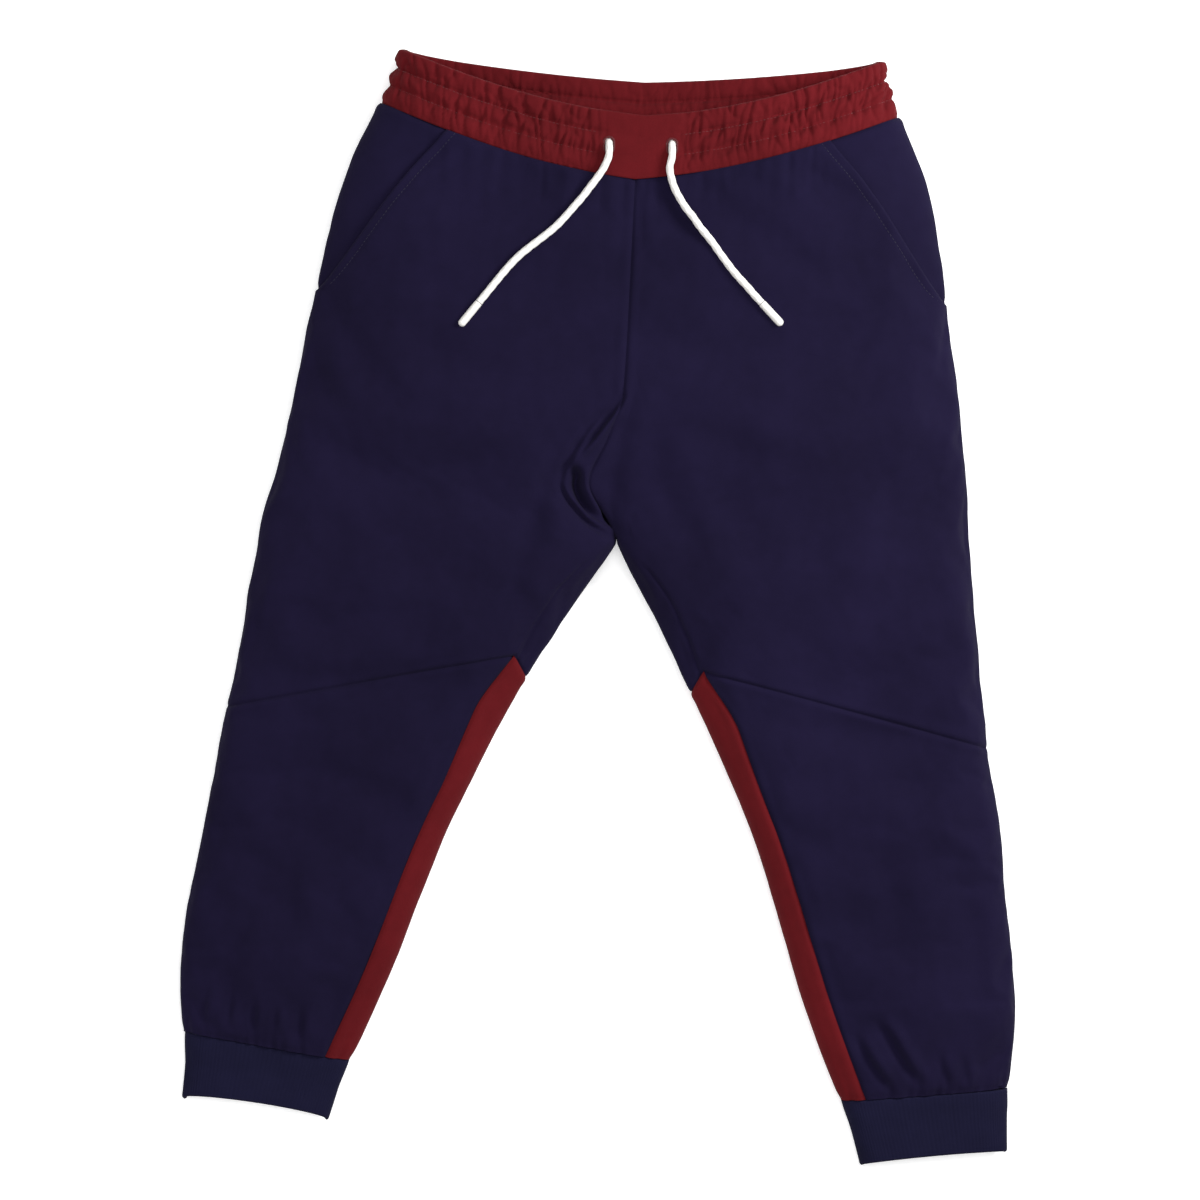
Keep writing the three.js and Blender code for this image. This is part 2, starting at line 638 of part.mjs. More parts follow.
function pocketBag(leg) {
  const front = [TAPE_DEPTH, TAPE_DEPTH + LINING];
  const back = [FACING_DEPTH + CLOTH + LAYER_GAP, FACING_DEPTH + CLOTH + LAYER_GAP + LINING];
  const fold = 0.985;
  const stops = [0, 0.2, 0.4, 0.6, 0.8];
  const outline = [
    ...stops.map((x) => [x, front[0]]), [1, front[0]], [1, back[1]],
    ...stops.toReversed().map((x) => [x, back[1]]),
    ...stops.map((x) => [x, back[0]]), [fold, back[0]], [fold, front[1]],
    ...stops.toReversed().map((x) => [x, front[1]]),
  ];
  return profiled(outline, 9, (x, depth, along) => {
    const down = lerp(0.02, BAG_DOWN, along);
    const start = Math.max(pocketEdge(down) + 0.05, BAG_START);
    return onBody(leg, 1, lerp(start, BAG_ACROSS, x), down, depth);
  });
}

function seamTape(leg, atInner, from, to, rows) {
  return sheet(4, rows, (u, v, d) =>
    overFold(leg, atInner, TAPE_SPAN, u, lerp(from, to, v), TAPE_DEPTH + FOLD_GAP + d * SEAM_TAPE));
}

function legSeam(leg, from, to) {
  return loop(LEG_COLUMNS, 1, (turn, v, d) =>
    aroundLeg(leg, turn, lerp(from, to, v), TAPE_DEPTH + d * SEAM_TAPE));
}

function cuff(leg) {
  return loop(LEG_COLUMNS, 2, (turn, v, d) => {
    const across = turn < 0.5 ? 2 * turn : 2 - 2 * turn;
    return onSection(leg.cuff(v), turn < 0.5 ? 1 : -1, across, d * CUFF_WALL, 0);
  });
}

for (const [name, leg] of Object.entries(legs)) {
  add(`${name}_front_panel`, upperPanel(leg, 1), 'navy');
  add(`${name}_back_panel`, upperPanel(leg, -1), 'navy');
  add(`${name}_front_shin_panel`, shinPanel(leg, 1), 'navy');
  add(`${name}_back_shin_panel`, shinPanel(leg, -1), 'navy');
  add(`${name}_inseam_panel`, inseamPanel(leg), 'maroon');
  add(`${name}_pocket_facing`, pocketFacing(leg), 'navy');
  add(`${name}_pocket_bag`, pocketBag(leg), 'lining');
  add(`${name}_side_seam`, seamTape(leg, false, 0.34, 0.96, 12), 'navy');
  add(`${name}_lower_side_seam`, seamTape(leg, false, 1.02, 1.96, 9), 'navy');
  add(`${name}_inseam`, seamTape(leg, true, 0.76, 0.96, 6), 'navy');
  add(`${name}_knee_seam`, legSeam(leg, 0.968, 0.985), 'navy');
  add(`${name}_cuff_seam`, legSeam(leg, 1.968, 1.99), 'navy');
  add(`${name}_cuff`, cuff(leg), 'rib');
}

export default trousers;
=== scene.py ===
import json
import math

import bpy
import numpy as np
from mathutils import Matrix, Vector


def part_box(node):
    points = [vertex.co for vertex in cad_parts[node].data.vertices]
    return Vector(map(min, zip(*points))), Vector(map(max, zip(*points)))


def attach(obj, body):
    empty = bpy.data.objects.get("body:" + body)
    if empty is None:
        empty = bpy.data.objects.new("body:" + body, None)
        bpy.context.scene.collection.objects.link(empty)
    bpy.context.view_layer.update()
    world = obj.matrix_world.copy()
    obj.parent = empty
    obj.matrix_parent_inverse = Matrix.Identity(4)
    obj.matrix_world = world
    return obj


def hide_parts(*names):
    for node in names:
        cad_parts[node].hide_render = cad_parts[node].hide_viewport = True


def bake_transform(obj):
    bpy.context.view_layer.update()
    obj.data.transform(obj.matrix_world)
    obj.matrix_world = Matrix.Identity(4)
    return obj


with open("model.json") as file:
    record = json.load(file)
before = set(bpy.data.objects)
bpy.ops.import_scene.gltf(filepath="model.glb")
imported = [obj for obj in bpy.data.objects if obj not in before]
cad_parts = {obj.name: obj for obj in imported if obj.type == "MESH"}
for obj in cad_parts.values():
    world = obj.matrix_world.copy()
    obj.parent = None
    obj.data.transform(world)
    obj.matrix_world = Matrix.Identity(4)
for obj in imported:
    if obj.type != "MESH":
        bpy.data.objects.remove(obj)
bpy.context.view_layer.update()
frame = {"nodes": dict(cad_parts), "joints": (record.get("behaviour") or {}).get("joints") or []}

# ---- Dimensions of the flat trousers ----

WAIST_HALF = 0.2295
UPPER_HIP_HALF = 0.255
HIP_HALF = 0.277
SEAT_HALF = 0.295
THIGH_WIDTH = 0.312
KNEE_WIDTH = 0.266
MID_SHIN_WIDTH = 0.220
LOW_SHIN_WIDTH = 0.186
SHIN_END_WIDTH = 0.152
CUFF_TOP_WIDTH = 0.144
CUFF_HEM_WIDTH = 0.131

FRONT_RISE = 0.316
BACK_RISE = 0.352
BAND_HEIGHT = 0.056
CROTCH_TO_KNEE = 0.152
KNEE_TO_CUFF = 0.340
CUFF_HEIGHT = 0.058
UPPER_HIP_DROP = 0.060
HIP_DROP = 0.163
SEAT_DROP = 0.265
SIDE_LENGTH = 0.530  # waist seam to knee seam, along the side

FOLD_SHARE = 0.45  # height of the side folds as a share of the loft
PRESS = 1.15  # how firmly the back is pressed flat
CROTCH = np.array([0.016, 0.056])
CENTRE_LEAN = 0.016
BAND_LEAN = 0.009
SEAM_SHIFT = 0.004
SEAM_SAG = 0.010
BACK_SAG = 0.003
KNEE_TIP = 0.020
EASE_DOWN = 0.3  # how far the sag and the tip's rise fade out, in `down`
CROTCH_DOWN = 0.72
DIVE_DOWN = 0.52
MID_SHIN_DOWN = 1.35
LOW_SHIN_DOWN = 1.77
SEAM_GAP = 0.0004
LEAST_HEIGHT = 0.0002  # of any cloth above the surface it lies on
LOFTS = [(-1, 0.056), (0, 0.058), (DIVE_DOWN, 0.055), (CROTCH_DOWN, 0.048), (1, 0.042),
         (MID_SHIN_DOWN, 0.038), (LOW_SHIN_DOWN, 0.034), (2, 0.027)]
CUFF_LOFT = 0.023
LAY = {
    "right": dict(side=-1, waist_rise=0.071, band_rise=0.048, band_inset=0.017, thigh=21.4, shin=17.4,
                  cuff=10.4, thigh_tilt=-3.7, knee_tilt=5.5, shin_tilt=-10, hem_tilt=-8.5,
                  slack=0.012, bow=0.009),
    "left": dict(side=1, waist_rise=0.058, band_rise=0.050, band_inset=0.013, thigh=15.3, shin=13,
                 cuff=8, thigh_tilt=3.6, knee_tilt=10.8, shin_tilt=-4.2, hem_tilt=-5.2,
                 slack=0.0, bow=0.008),
}

POCKET_TOP_SHARE = 0.27
POCKET_DOWN = 0.31
INSEAM_TIP_WIDTH = 0.011
INSEAM_WIDTH = 0.023
TIP_SHARE = 1 - INSEAM_TIP_WIDTH / KNEE_WIDTH

CLOTH = 0.0022
BAND_CLOTH = 0.0020
BAND_ROWS = 3
STITCH_GROOVE = 0.0036
CORD_RADIUS = 0.0032
CORD_ROUTES = {
    "right": [(9, 392, 61.8), (5, 382, 62), (-1, 373, 62), (-7.5, 364.5, 62), (-14, 356, 61.9),
              (-21, 348, 61.8), (-28, 340, 61.7), (-35.5, 332, 61.6), (-43.5, 325, 61.6),
              (-52, 318.5, 61.5), (-60.5, 312, 61.5), (-69, 305, 61.3), (-76.5, 297.5, 61.2),
              (-83.5, 289.5, 61), (-90.5, 281, 60.8), (-97, 273, 60.6), (-104, 264.5, 60.4)],
    "left": [(64, 391, 61.8), (62, 381.5, 62), (63.5, 372, 62), (66.5, 363, 61.9), (71, 354.5, 61.8),
             (76, 346.5, 61.8), (82, 339, 61.7), (87.5, 331, 61.7), (93.5, 323.5, 61.6),
             (99.5, 316, 61.5), (105, 308, 61.4), (110.5, 300.5, 61.3), (116.5, 292.5, 61.1),
             (122.5, 285.5, 61), (129, 278.5, 60.8), (135.5, 271, 60.6), (142, 264, 60.4)],
}


# ---- Numbers and curves ----

def lerp(a, b, t):
    return a + (b - a) * t


def smoothstep(value, low, high):
    t = np.clip((value - low) / (high - low), 0, 1)
    return t * t * (3 - 2 * t)


def bell(distance, width):
    return np.exp(-(distance / width) ** 2)


def unit(vectors):
    return vectors / np.maximum(np.linalg.norm(vectors, axis=-1, keepdims=True), 1e-12)


def run_along(points):
    """Distance along a path from its first point to each of its points."""
    steps = np.linalg.norm(np.diff(points, axis=0), axis=-1)
    return np.concatenate([np.zeros_like(steps[:1]), np.cumsum(steps, axis=0)])


def read_at(where, arc, values):
    """Points or directions given along an arc, read at other places along it."""
    return np.stack([np.interp(where, arc, values[:, k]) for k in range(3)], axis=-1)


def through(stops):
    """A smooth curve through stops (parameter, coordinates...), as a function of the parameter."""
    marks = np.array([stop[0] for stop in stops], float)
    points = np.array([stop[1:] for stop in stops], float)
    points = np.vstack([2 * points[0] - points[1], points, 2 * points[-1] - points[-2]])
    steps = np.sqrt(np.maximum(np.linalg.norm(np.diff(points, axis=0), axis=1), 1e-12))

    def at(value):
        value = np.asarray(value, float)
        i = np.clip(np.searchsorted(marks, value), 1, len(marks) - 1) - 1
        t = ((value - marks[i]) / (marks[i + 1] - marks[i]))[..., None]
        p0, p1, p2, p3 = (points[i + k] for k in range(4))
        d0, d1, d2 = (steps[i + k][..., None] for k in range(3))
        out = ((p1 - p0) / d0 - (p2 - p0) / (d0 + d1) + (p2 - p1) / d1) * d1
        into = ((p2 - p1) / d1 - (p3 - p1) / (d1 + d2) + (p3 - p2) / d2) * d1
        return (p1 + out * t + (3 * (p2 - p1) - 2 * out - into) * t ** 2
                + (2 * (p1 - p2) + out + into) * t ** 3)

    return at


class Noise:
    """Smooth random values over a plane, about -1 to 1, the same on each run."""

    SIZE = 64

    def __init__(self, seed):
        angle = np.random.default_rng(seed).uniform(0, 2 * math.pi, (self.SIZE, self.SIZE))
        self.slopes = np.stack([np.cos(angle), np.sin(angle)], axis=-1)

    def __call__(self, x, y):
        x, y = np.broadcast_arrays(x, y)
        left, low = np.floor(x).astype(int), np.floor(y).astype(int)
        fx, fy = x - left, y - low
        total = 0
        for dx in (0, 1):
            for dy in (0, 1):
                slope = self.slopes[(left + dx) % self.SIZE, (low + dy) % self.SIZE]
                value = slope[..., 0] * (fx - dx) + slope[..., 1] * (fy - dy)
                wx = smoothstep(fx, 0, 1) if dx else 1 - smoothstep(fx, 0, 1)
                wy = smoothstep(fy, 0, 1) if dy else 1 - smoothstep(fy, 0, 1)
                total = total + value * wx * wy
        return total * 1.5


# ---- The hollow body ----

loft_at = through(LOFTS)


def profile(across, legness):
    """Share of the chord covered and share of the height reached, at a place across a section."""
    torso = math.pi / 2 * across
    leg = math.pi * across

    def height(angle):
        return np.sin(angle) * (2 - np.sin(angle))

    return (lerp(1 - np.cos(torso), (1 - np.cos(leg)) / 2, legness),
            lerp(height(torso), height(leg), legness))


class Section:
    """Cross-sections of one leg, all laid out as arrays of the same shape."""

    def __init__(self, outer, inner, loft, legness, tip_rise, sag, face):
        self.outer, self.inner, self.loft, self.legness = outer, inner, loft, legness
        self.tip_rise, self.sag, self.face = tip_rise, sag, face

    def surface(self, across):
        share, height = profile(across, self.legness)
        x = lerp(self.outer[..., 0], self.inner[..., 0], share)
        y = lerp(self.outer[..., 1], self.inner[..., 1], share)
        y = y + self.tip_rise * np.minimum(share / TIP_SHARE, (1 - share) / (1 - TIP_SHARE))
        y = y - self.sag * 4 * share * (1 - share)
        fold = self.loft * FOLD_SHARE
        if self.face > 0:
            z = lerp(fold, self.loft, height)
        else:
            z = np.maximum(0, fold * (1 - PRESS * height))
        return np.stack([x, y, z], axis=-1)

    def point(self, across, depth):
        """Points `depth` inside the outer face."""
        step = 0.002
        p = self.surface(across)
        along = self.surface(np.minimum(1, across + step)) - self.surface(np.maximum(0, across - step))
        chord = unit(self.inner - self.outer)
        run = (along[..., :2] * chord).sum(axis=-1)
        length = np.hypot(run, along[..., 2])
        sideways = depth * self.face * along[..., 2] / length
        p[..., :2] += chord * sideways[..., None]
        p[..., 2] -= depth * self.face * run / length
        return p


class Leg:
    def __init__(self, name):
        lay = LAY[name]
        side = lay["side"]
        self.tops = {1: CROTCH + (CENTRE_LEAN, FRONT_RISE), -1: CROTCH + (CENTRE_LEAN, BACK_RISE)}

        def towards(angle, distance):
            turn = math.radians(angle)
            return np.array([side * math.sin(turn), -math.cos(turn)]) * distance

        def half(width, tilt):
            turn = math.radians(tilt)
            return np.array([side * math.cos(turn), -math.sin(turn)]) * width / 2

        waist = self.tops[1] + (side * WAIST_HALF + SEAM_SHIFT, lay["waist_rise"])

        def below(drop, reach):
            seam_x = lerp(self.tops[1][0], CROTCH[0], drop / (FRONT_RISE + lay["waist_rise"]))
            return seam_x + side * reach + SEAM_SHIFT, waist[1] - drop

        thigh = CROTCH + half(THIGH_WIDTH, lay["thigh_tilt"])
        knee = thigh + towards(lay["thigh"], CROTCH_TO_KNEE)
        knee_half = half(KNEE_WIDTH, lay["knee_tilt"])

        def shin(share):
            bow = side * lay["bow"] * math.sin(math.pi * share)
            return knee + towards(lay["shin"], (KNEE_TO_CUFF - lay["slack"]) * share) + (bow, 0)

        def shin_stops(sign):
            stops = []
            for down, width in ((MID_SHIN_DOWN, MID_SHIN_WIDTH), (LOW_SHIN_DOWN, LOW_SHIN_WIDTH),
                                (2, SHIN_END_WIDTH)):
                tilt = lerp(lay["knee_tilt"], lay["shin_tilt"], down - 1)
                stops.append((down, *(shin(down - 1) + sign * half(width, tilt))))
            return stops

        self.outer = through([
            (-1, waist[0] - side * lay["band_inset"], waist[1] + lay["band_rise"]),
            (0, *waist),
            (UPPER_HIP_DROP / SIDE_LENGTH, *below(UPPER_HIP_DROP, UPPER_HIP_HALF)),
            (HIP_DROP / SIDE_LENGTH, *below(HIP_DROP, HIP_HALF)),
            (SEAT_DROP / SIDE_LENGTH, *below(SEAT_DROP, SEAT_HALF)),
            (CROTCH_DOWN, *(thigh + half(THIGH_WIDTH, lay["thigh_tilt"]))),
            (1, *(knee + knee_half)),
            *shin_stops(1),
        ])
        self.in_leg = through([(CROTCH_DOWN, *CROTCH), (1, *(knee - knee_half)), *shin_stops(-1)])
        cuff_top = shin(1) + towards(lay["cuff"], SEAM_GAP)
        cuff_hem = shin(1) + towards(lay["cuff"], CUFF_HEIGHT)
        self.cuff_ends = [(cuff_top, half(CUFF_TOP_WIDTH, lay["shin_tilt"])),
                          (cuff_hem, half(CUFF_HEM_WIDTH, lay["hem_tilt"]))]

    def inner(self, down, face):
        down = np.asarray(down)[..., None]
        top = self.tops[face]
        above = top + np.array([BAND_LEAN, BAND_HEIGHT]) * -down
        rise = top + (CROTCH - top) * (down / CROTCH_DOWN)
        leg = self.in_leg(np.maximum(down[..., 0], CROTCH_DOWN))
        return np.where(down < 0, above, np.where(down < CROTCH_DOWN, rise, leg))

    def section(self, face, down):
        return Section(
            self.outer(down), self.inner(down, face), loft_at(down)[..., 0],
            smoothstep(down, DIVE_DOWN, CROTCH_DOWN),
            KNEE_TIP * (1 - smoothstep(np.abs(down - 1), 0, EASE_DOWN)),
            (SEAM_SAG if face > 0 else BACK_SAG) * np.maximum(0, 1 - np.maximum(0, down) / EASE_DOWN) ** 2,
            face)

    def body(self, face, across, down, depth=0.0):
        across, down, depth = np.broadcast_arrays(across, down, depth)
        return self.section(face, down).point(across, depth)

    def cuff(self, face, across, v, depth):
        across, v, depth = np.broadcast_arrays(across, v, depth)
        (top, top_half), (hem, hem_half) = self.cuff_ends
        centre = lerp(top, hem, v[..., None])
        reach = lerp(top_half, hem_half, v[..., None])
        flat = np.zeros(v.shape)
        whole = Section(centre + reach, centre - reach, flat + CUFF_LOFT, flat + 1, flat, flat, face)
        return whole.point(across, depth)


LEGS = {name: Leg(name) for name in LAY}


def across_torso(share):
    return np.arccos(1 - share) * 2 / math.pi


def pocket_edge(down):
    return across_torso(POCKET_TOP_SHARE * np.maximum(0, 1 - down / POCKET_DOWN) ** 0.8)


def inseam_edge(leg, down):
    width = lerp(INSEAM_TIP_WIDTH, INSEAM_WIDTH, smoothstep(down, 1, 1.12))
    chord = np.linalg.norm(leg.outer(down) - leg.inner(down, 1), axis=-1)
    return np.arccos(1 - 2 * (1 - width / chord)) / math.pi


# ---- Grids of cloth ----

FINE = np.linspace(0, 1, 301)
SEAM_STEPS = np.array([0, 0.5, 1.0, 1.6, 2.3, 3.2, 4.5, 6.2, 8.5]) / 1000
LINE_STEPS = np.concatenate([SEAM_STEPS, np.arange(9.6, 33, 1.2) / 1000])
NO_STEPS = np.array([0.0])
CLOTH_PITCH = 0.0035


def turned_outwards(points, face, rows=slice(None)):
    """Unit normals of a grid, turned so that in those rows they look to the side of its face."""
    normals = unit(np.cross(np.gradient(points, axis=1), np.gradient(points, axis=0)))
    return normals * np.sign((normals[rows, ..., 2] * face).sum())


class Grid:
    """Rows and columns of places on the hollow body, with the distances from each of its edges.

    `parts` are (leg, face, first, last), side by side, from `first` to `last` across each row."""

    def __init__(self, parts, downs, near_last=SEAM_STEPS, pitch=CLOTH_PITCH):
        points, normals, across_all, arcs = [], [], [], []
        offset = np.zeros((len(downs), 1))
        for i, (leg, face, first, last) in enumerate(parts):
            near = SEAM_STEPS if i == 0 else NO_STEPS
            far = near_last if i == len(parts) - 1 else NO_STEPS
            across, distance = self.columns(leg, face, downs, first, last, near, far, pitch)
            grid = leg.body(face, across, downs[:, None])
            sides = turned_outwards(grid, face)
            if i:
                grid, across, distance = grid[:, 1:], across[:, 1:], distance[:, 1:]
                normals[-1][:, -1] = unit(normals[-1][:, -1] + sides[:, 0])
                sides = sides[:, 1:]
            points.append(grid)
            normals.append(sides)
            across_all.append(across)
            arcs.append(offset + distance)
            offset = arcs[-1][:, -1:]
        self.points = np.concatenate(points, axis=1)
        self.normals = np.concatenate(normals, axis=1)
        self.across = np.concatenate(across_all, axis=1)
        self.down = np.broadcast_to(downs[:, None], self.across.shape)
        self.from_first = np.concatenate(arcs, axis=1)
        self.from_last = self.from_first[:, -1:] - self.from_first
        run = run_along(self.points[:, self.points.shape[1] // 2])[:, None]
        self.from_top = run + 0 * self.across
        self.from_bottom = run[-1] - self.from_top
        self.uv = np.stack([self.from_first - self.from_first[:, -1:] / 2, self.from_top], axis=-1)

    @staticmethod
    def columns(leg, face, downs, first, last, near, far, pitch):
        arc = run_along(leg.body(face, FINE[:, None], downs[None, :])).T
        rows = range(len(downs))
        start = np.array([np.interp(first[i], FINE, arc[i]) for i in rows])
        width = np.array([np.interp(last[i], FINE, arc[i]) for i in rows]) - start
        count = max(3, round((abs(width).max() - near[-1] - far[-1]) / pitch))
        distance = []
        for total in width:
            share = min(1, abs(total) / (near[-1] + far[-1] + 1e-9) / 1.5)
            low, high = near * share, abs(total) - far[::-1] * share
            middle = np.linspace(low[-1], high[0], count + 1)[1:-1]
            distance.append(np.concatenate([low, middle, high]))
        distance = np.array(distance)
        places = start[:, None] + distance * np.sign(width)[:, None]
        across = np.array([np.interp(places[i], arc[i], FINE) for i in rows])
        return across, distance


def rows_between(top, bottom, length):
    """Places `down` a stretch of cloth of that length, closer together beside its seams."""
    margin = SEAM_STEPS[-1]
    middle = np.arange(margin + CLOTH_PITCH, length - margin - CLOTH_PITCH / 2, CLOTH_PITCH)
    run = np.concatenate([SEAM_STEPS, middle, length - SEAM_STEPS[::-1]])
    return lerp(top, bottom, run / length)


def build(name, points, faces, uv=None, smooth=True):
    mesh = bpy.data.meshes.new(name)
    faces = np.asarray(faces)
    mesh.vertices.add(len(points))
    mesh.vertices.foreach_set("co", np.asarray(points, np.float32).ravel())
    mesh.loops.add(faces.size)
    mesh.loops.foreach_set("vertex_index", faces.astype(np.int32).ravel())
    mesh.polygons.add(len(faces))
    size = faces.shape[1]
    mesh.polygons.foreach_set("loop_start", np.arange(len(faces), dtype=np.int32) * size)
    mesh.polygons.foreach_set("use_smooth", np.full(len(faces), smooth))
    if uv is not None:
        layer = mesh.uv_layers.new(name="cloth")
        layer.data.foreach_set("uv", np.asarray(uv, np.float32)[faces.ravel()].ravel())
    mesh.update(calc_edges=True)
    mesh.validate()
    obj = bpy.data.objects.new(name, mesh)
    bpy.context.scene.collection.objects.link(obj)
    return obj


def grid_faces(rows, columns, wrap_rows=False, wrap_columns=False):
    index = np.arange(rows * columns).reshape(rows, columns)
    if wrap_rows:
        index = np.vstack([index, index[:1]])
    if wrap_columns:
        index = np.hstack([index, index[:, :1]])
    corners = index[:-1, :-1], index[:-1, 1:], index[1:, 1:], index[1:, :-1]
    return np.stack([corner.ravel() for corner in corners], axis=1)


def facing_out(points, faces, normals):
    """The faces in the order of corners that looks to the side of the normals."""
    a, b, _, d = (points[faces[:, k]] for k in range(4))
    looks = (np.cross(b - a, d - a) * normals[faces[:, 0]]).sum()
    return faces if looks > 0 else faces[:, ::-1]


def shell(name, outer, normals, thickness, uv, keep=None):
    """A closed sheet: the outer grid, the same one `thickness` inside it, and its rims."""
    rows, columns = outer.shape[:2]
    outer, normals, uv = outer.reshape(-1, 3), normals.reshape(-1, 3), uv.reshape(-1, 2)
    faces = facing_out(outer, grid_faces(rows, columns), normals)
    if keep is not None:
        faces = faces[keep(outer[faces].mean(axis=1))]
    count = len(outer)
    edges = np.concatenate([faces[:, [k, (k + 1) % 4]] for k in range(4)])
    there = {(a, b) for a, b in edges.tolist()}
    rim = np.array([(a, b) for a, b in there if (b, a) not in there])
    sides = np.stack([rim[:, 1], rim[:, 0], rim[:, 0] + count, rim[:, 1] + count], axis=1)
    both = np.concatenate([outer, outer - normals * thickness])
    whole = np.concatenate([faces, faces[:, ::-1] + count, sides[np.lexsort(sides.T)]])
    used, small = np.unique(whole, return_inverse=True)
    return build(name, both[used], small.reshape(whole.shape), np.concatenate([uv, uv])[used])


# ---- Seams, folds and gathers ----

broad = Noise(3)
middling = Noise(5)
fine_noise = Noise(8)
pucker_noise = Noise(13)
ROLL_DEPTH = 0.0014
ROLL_WIDTH = 0.0017
PUFF_SHARE = 0.35
PUFF_PLACE = 0.0055
PUFF_WIDTH = 0.003
CROSSING_SHARE = 0.3
CROSSING_REACH = 0.012


def seam_roll(distance, depth=ROLL_DEPTH):
    """How a sewn edge turns in, with the cloth puffed up a little beside it."""
    puff = PUFF_SHARE * depth * bell(distance - PUFF_PLACE, PUFF_WIDTH)
    return puff - depth * bell(distance, ROLL_WIDTH)


def cross_roll(grid, distance, at_last=False):
    """The roll of a seam that runs across the cloth, shallower where it meets the side folds."""
    fade = lerp(CROSSING_SHARE, 1, smoothstep(grid.from_first, 0, CROSSING_REACH))
    if at_last:
        fade = fade * lerp(CROSSING_SHARE, 1, smoothstep(grid.from_last, 0, CROSSING_REACH))
    return seam_roll(distance) * fade


FOLD_STEPS = 25
RIDGE_PLACE = 1.9  # of a fold's ridge, beside its valley, in widths of the valley
RIDGE_WIDTH = 1.3


def furrow(x, y, path, width, depth, ridge):
    """A fold along a path: a soft valley that fades at both ends, with a ridge on its left."""
    path = through([(i, *p) for i, p in enumerate(path)])(np.linspace(0, len(path) - 1, FOLD_STEPS))
    nearest = np.full(x.shape, 1e9)
    side = np.zeros(x.shape)
    place = np.zeros(x.shape)
    for i, (a, b) in enumerate(zip(path[:-1], path[1:])):
        along = b - a
        t = np.clip(((x - a[0]) * along[0] + (y - a[1]) * along[1]) / (along @ along), 0, 1)
        dx, dy = x - a[0] - t * along[0], y - a[1] - t * along[1]
        distance = np.hypot(dx, dy)
        closer = distance < nearest
        nearest = np.where(closer, distance, nearest)
        side = np.where(closer, np.sign(along[0] * dy - along[1] * dx), side)
        place = np.where(closer, (i + t) / (len(path) - 1), place)
    fade = np.sin(math.pi * np.clip(place, 0.02, 0.98)) ** 0.6
    beside = ridge * bell(nearest * side - RIDGE_PLACE * width, RIDGE_WIDTH * width)
    return depth * fade * (beside - bell(nearest, width))


# Folds that show on the front: the path, width and depth in millimetres, and the share of the ridge
CROTCH_FOLDS = [
    ([(21, 184), (15, 168), (7, 148), (0, 134)], 3, 5, 0.8),
    ([(9, 172), (-1, 157), (-9, 134), (-13, 112), (-11, 92)], 4.8, 3, 0.8),
    ([(-5, 121), (6, 113), (7, 100), (6, 86), (11, 74)], 4.6, 9, 0.5),
    ([(-13, 104), (-7, 84), (2, 70), (14, 59)], 3.2, 4.5, 1),
    ([(24, 170), (33, 140), (37, 110), (34, 84)], 9, 3.2, 0.6),
    ([(46, 168), (60, 124), (72, 80), (84, 30)], 12, 3.2, 0.6),
    ([(-24, 130), (-48, 88), (-66, 44), (-76, 0)], 11, 3.2, 0.6),
    ([(-2, 168), (-44, 150), (-96, 128), (-150, 118)], 15, 3, 0.6),
    ([(44, 160), (92, 146), (150, 128), (196, 120)], 15, 2.6, 0.6),
]
LEG_FOLDS = [
    ([(-300, -52), (-240, -66), (-170, -66), (-110, -48)], 12, 2.2, 0.7),
    ([(-296, -96), (-236, -104), (-180, -98)], 13, 1.6, 0.6),
    ([(120, -84), (180, -104), (250, -112), (318, -108)], 12, 2, 0.7),
    ([(160, -150), (220, -160), (290, -150)], 13, 1.4, 0.6),
    ([(-290, 40), (-236, 20), (-190, 10)], 14, 1.6, 0.6),
    ([(210, 20), (262, 12), (316, 26)], 14, 1.4, 0.6),
    ([(-260, -210), (-270, -260), (-288, -310)], 11, 1.8, 0.7),
    ([(-300, -250), (-318, -300), (-328, -352)], 10, 1.4, 0.6),
    ([(236, -196), (258, -250), (272, -310)], 12, 1.6, 0.7),
    ([(312, -230), (330, -290), (338, -350)], 10, 1.4, 0.6),
]
CUFF_FOLDS = [
    ([(244, -366), (256, -382), (267, -401), (282, -422)], 4.6, 4.4, 0.8),
    ([(225, -380), (235, -397), (246, -413), (257, -428)], 4.2, 3.6, 0.8),
    ([(299, -396), (303, -410), (307, -424)], 4, 2.2, 0.7),
    ([(320, -396), (322, -410), (326, -424)], 4, 2, 0.7),
    ([(-302, -348), (-303, -360), (-304, -371)], 2.8, 2, 0.7),
    ([(-323, -346), (-325, -356), (-327, -367)], 2.8, 1.6, 0.7),
    ([(-283, -352), (-284, -363), (-285, -373)], 2.6, 2, 0.7),
    ([(-262, -352), (-263, -368), (-265, -381)], 4, 2.2, 0.7),
    ([(-344, -338), (-347, -350), (-350, -362)], 3, 1.4, 0.6),
]


def drawn_folds(grid, folds):
    x, y = grid.points[..., 0] * 1000, grid.points[..., 1] * 1000
    return sum(furrow(x, y, *fold) for fold in folds) / 1000


# The front's centre seam bends towards the wearer's right where the cloth bunches at the crotch
BEND = through([(-1, 0), (0.056, 0), (0.080, -0.013), (0.108, -0.027), (0.146, -0.013),
                (0.181, -0.001), (0.25, 0), (1, 0)])
BEND_REACH = 0.060


def bend_front(points):
    x, y = points[..., 0], points[..., 1]
    seam = CROTCH[0] + CENTRE_LEAN * (y - CROTCH[1]) / FRONT_RISE
    points[..., 0] += BEND(y)[..., 0] * bell(x - seam, BEND_REACH)
    return points


CREASE_JITTER = 0.006
# Least and most of the lengths, depths, widths and leans of the creases below the waistband
CREASE_RANGES = [(0.022, 0.070), (0.0005, 0.0014), (0.0022, 0.0048), (-0.10, 0.10)]


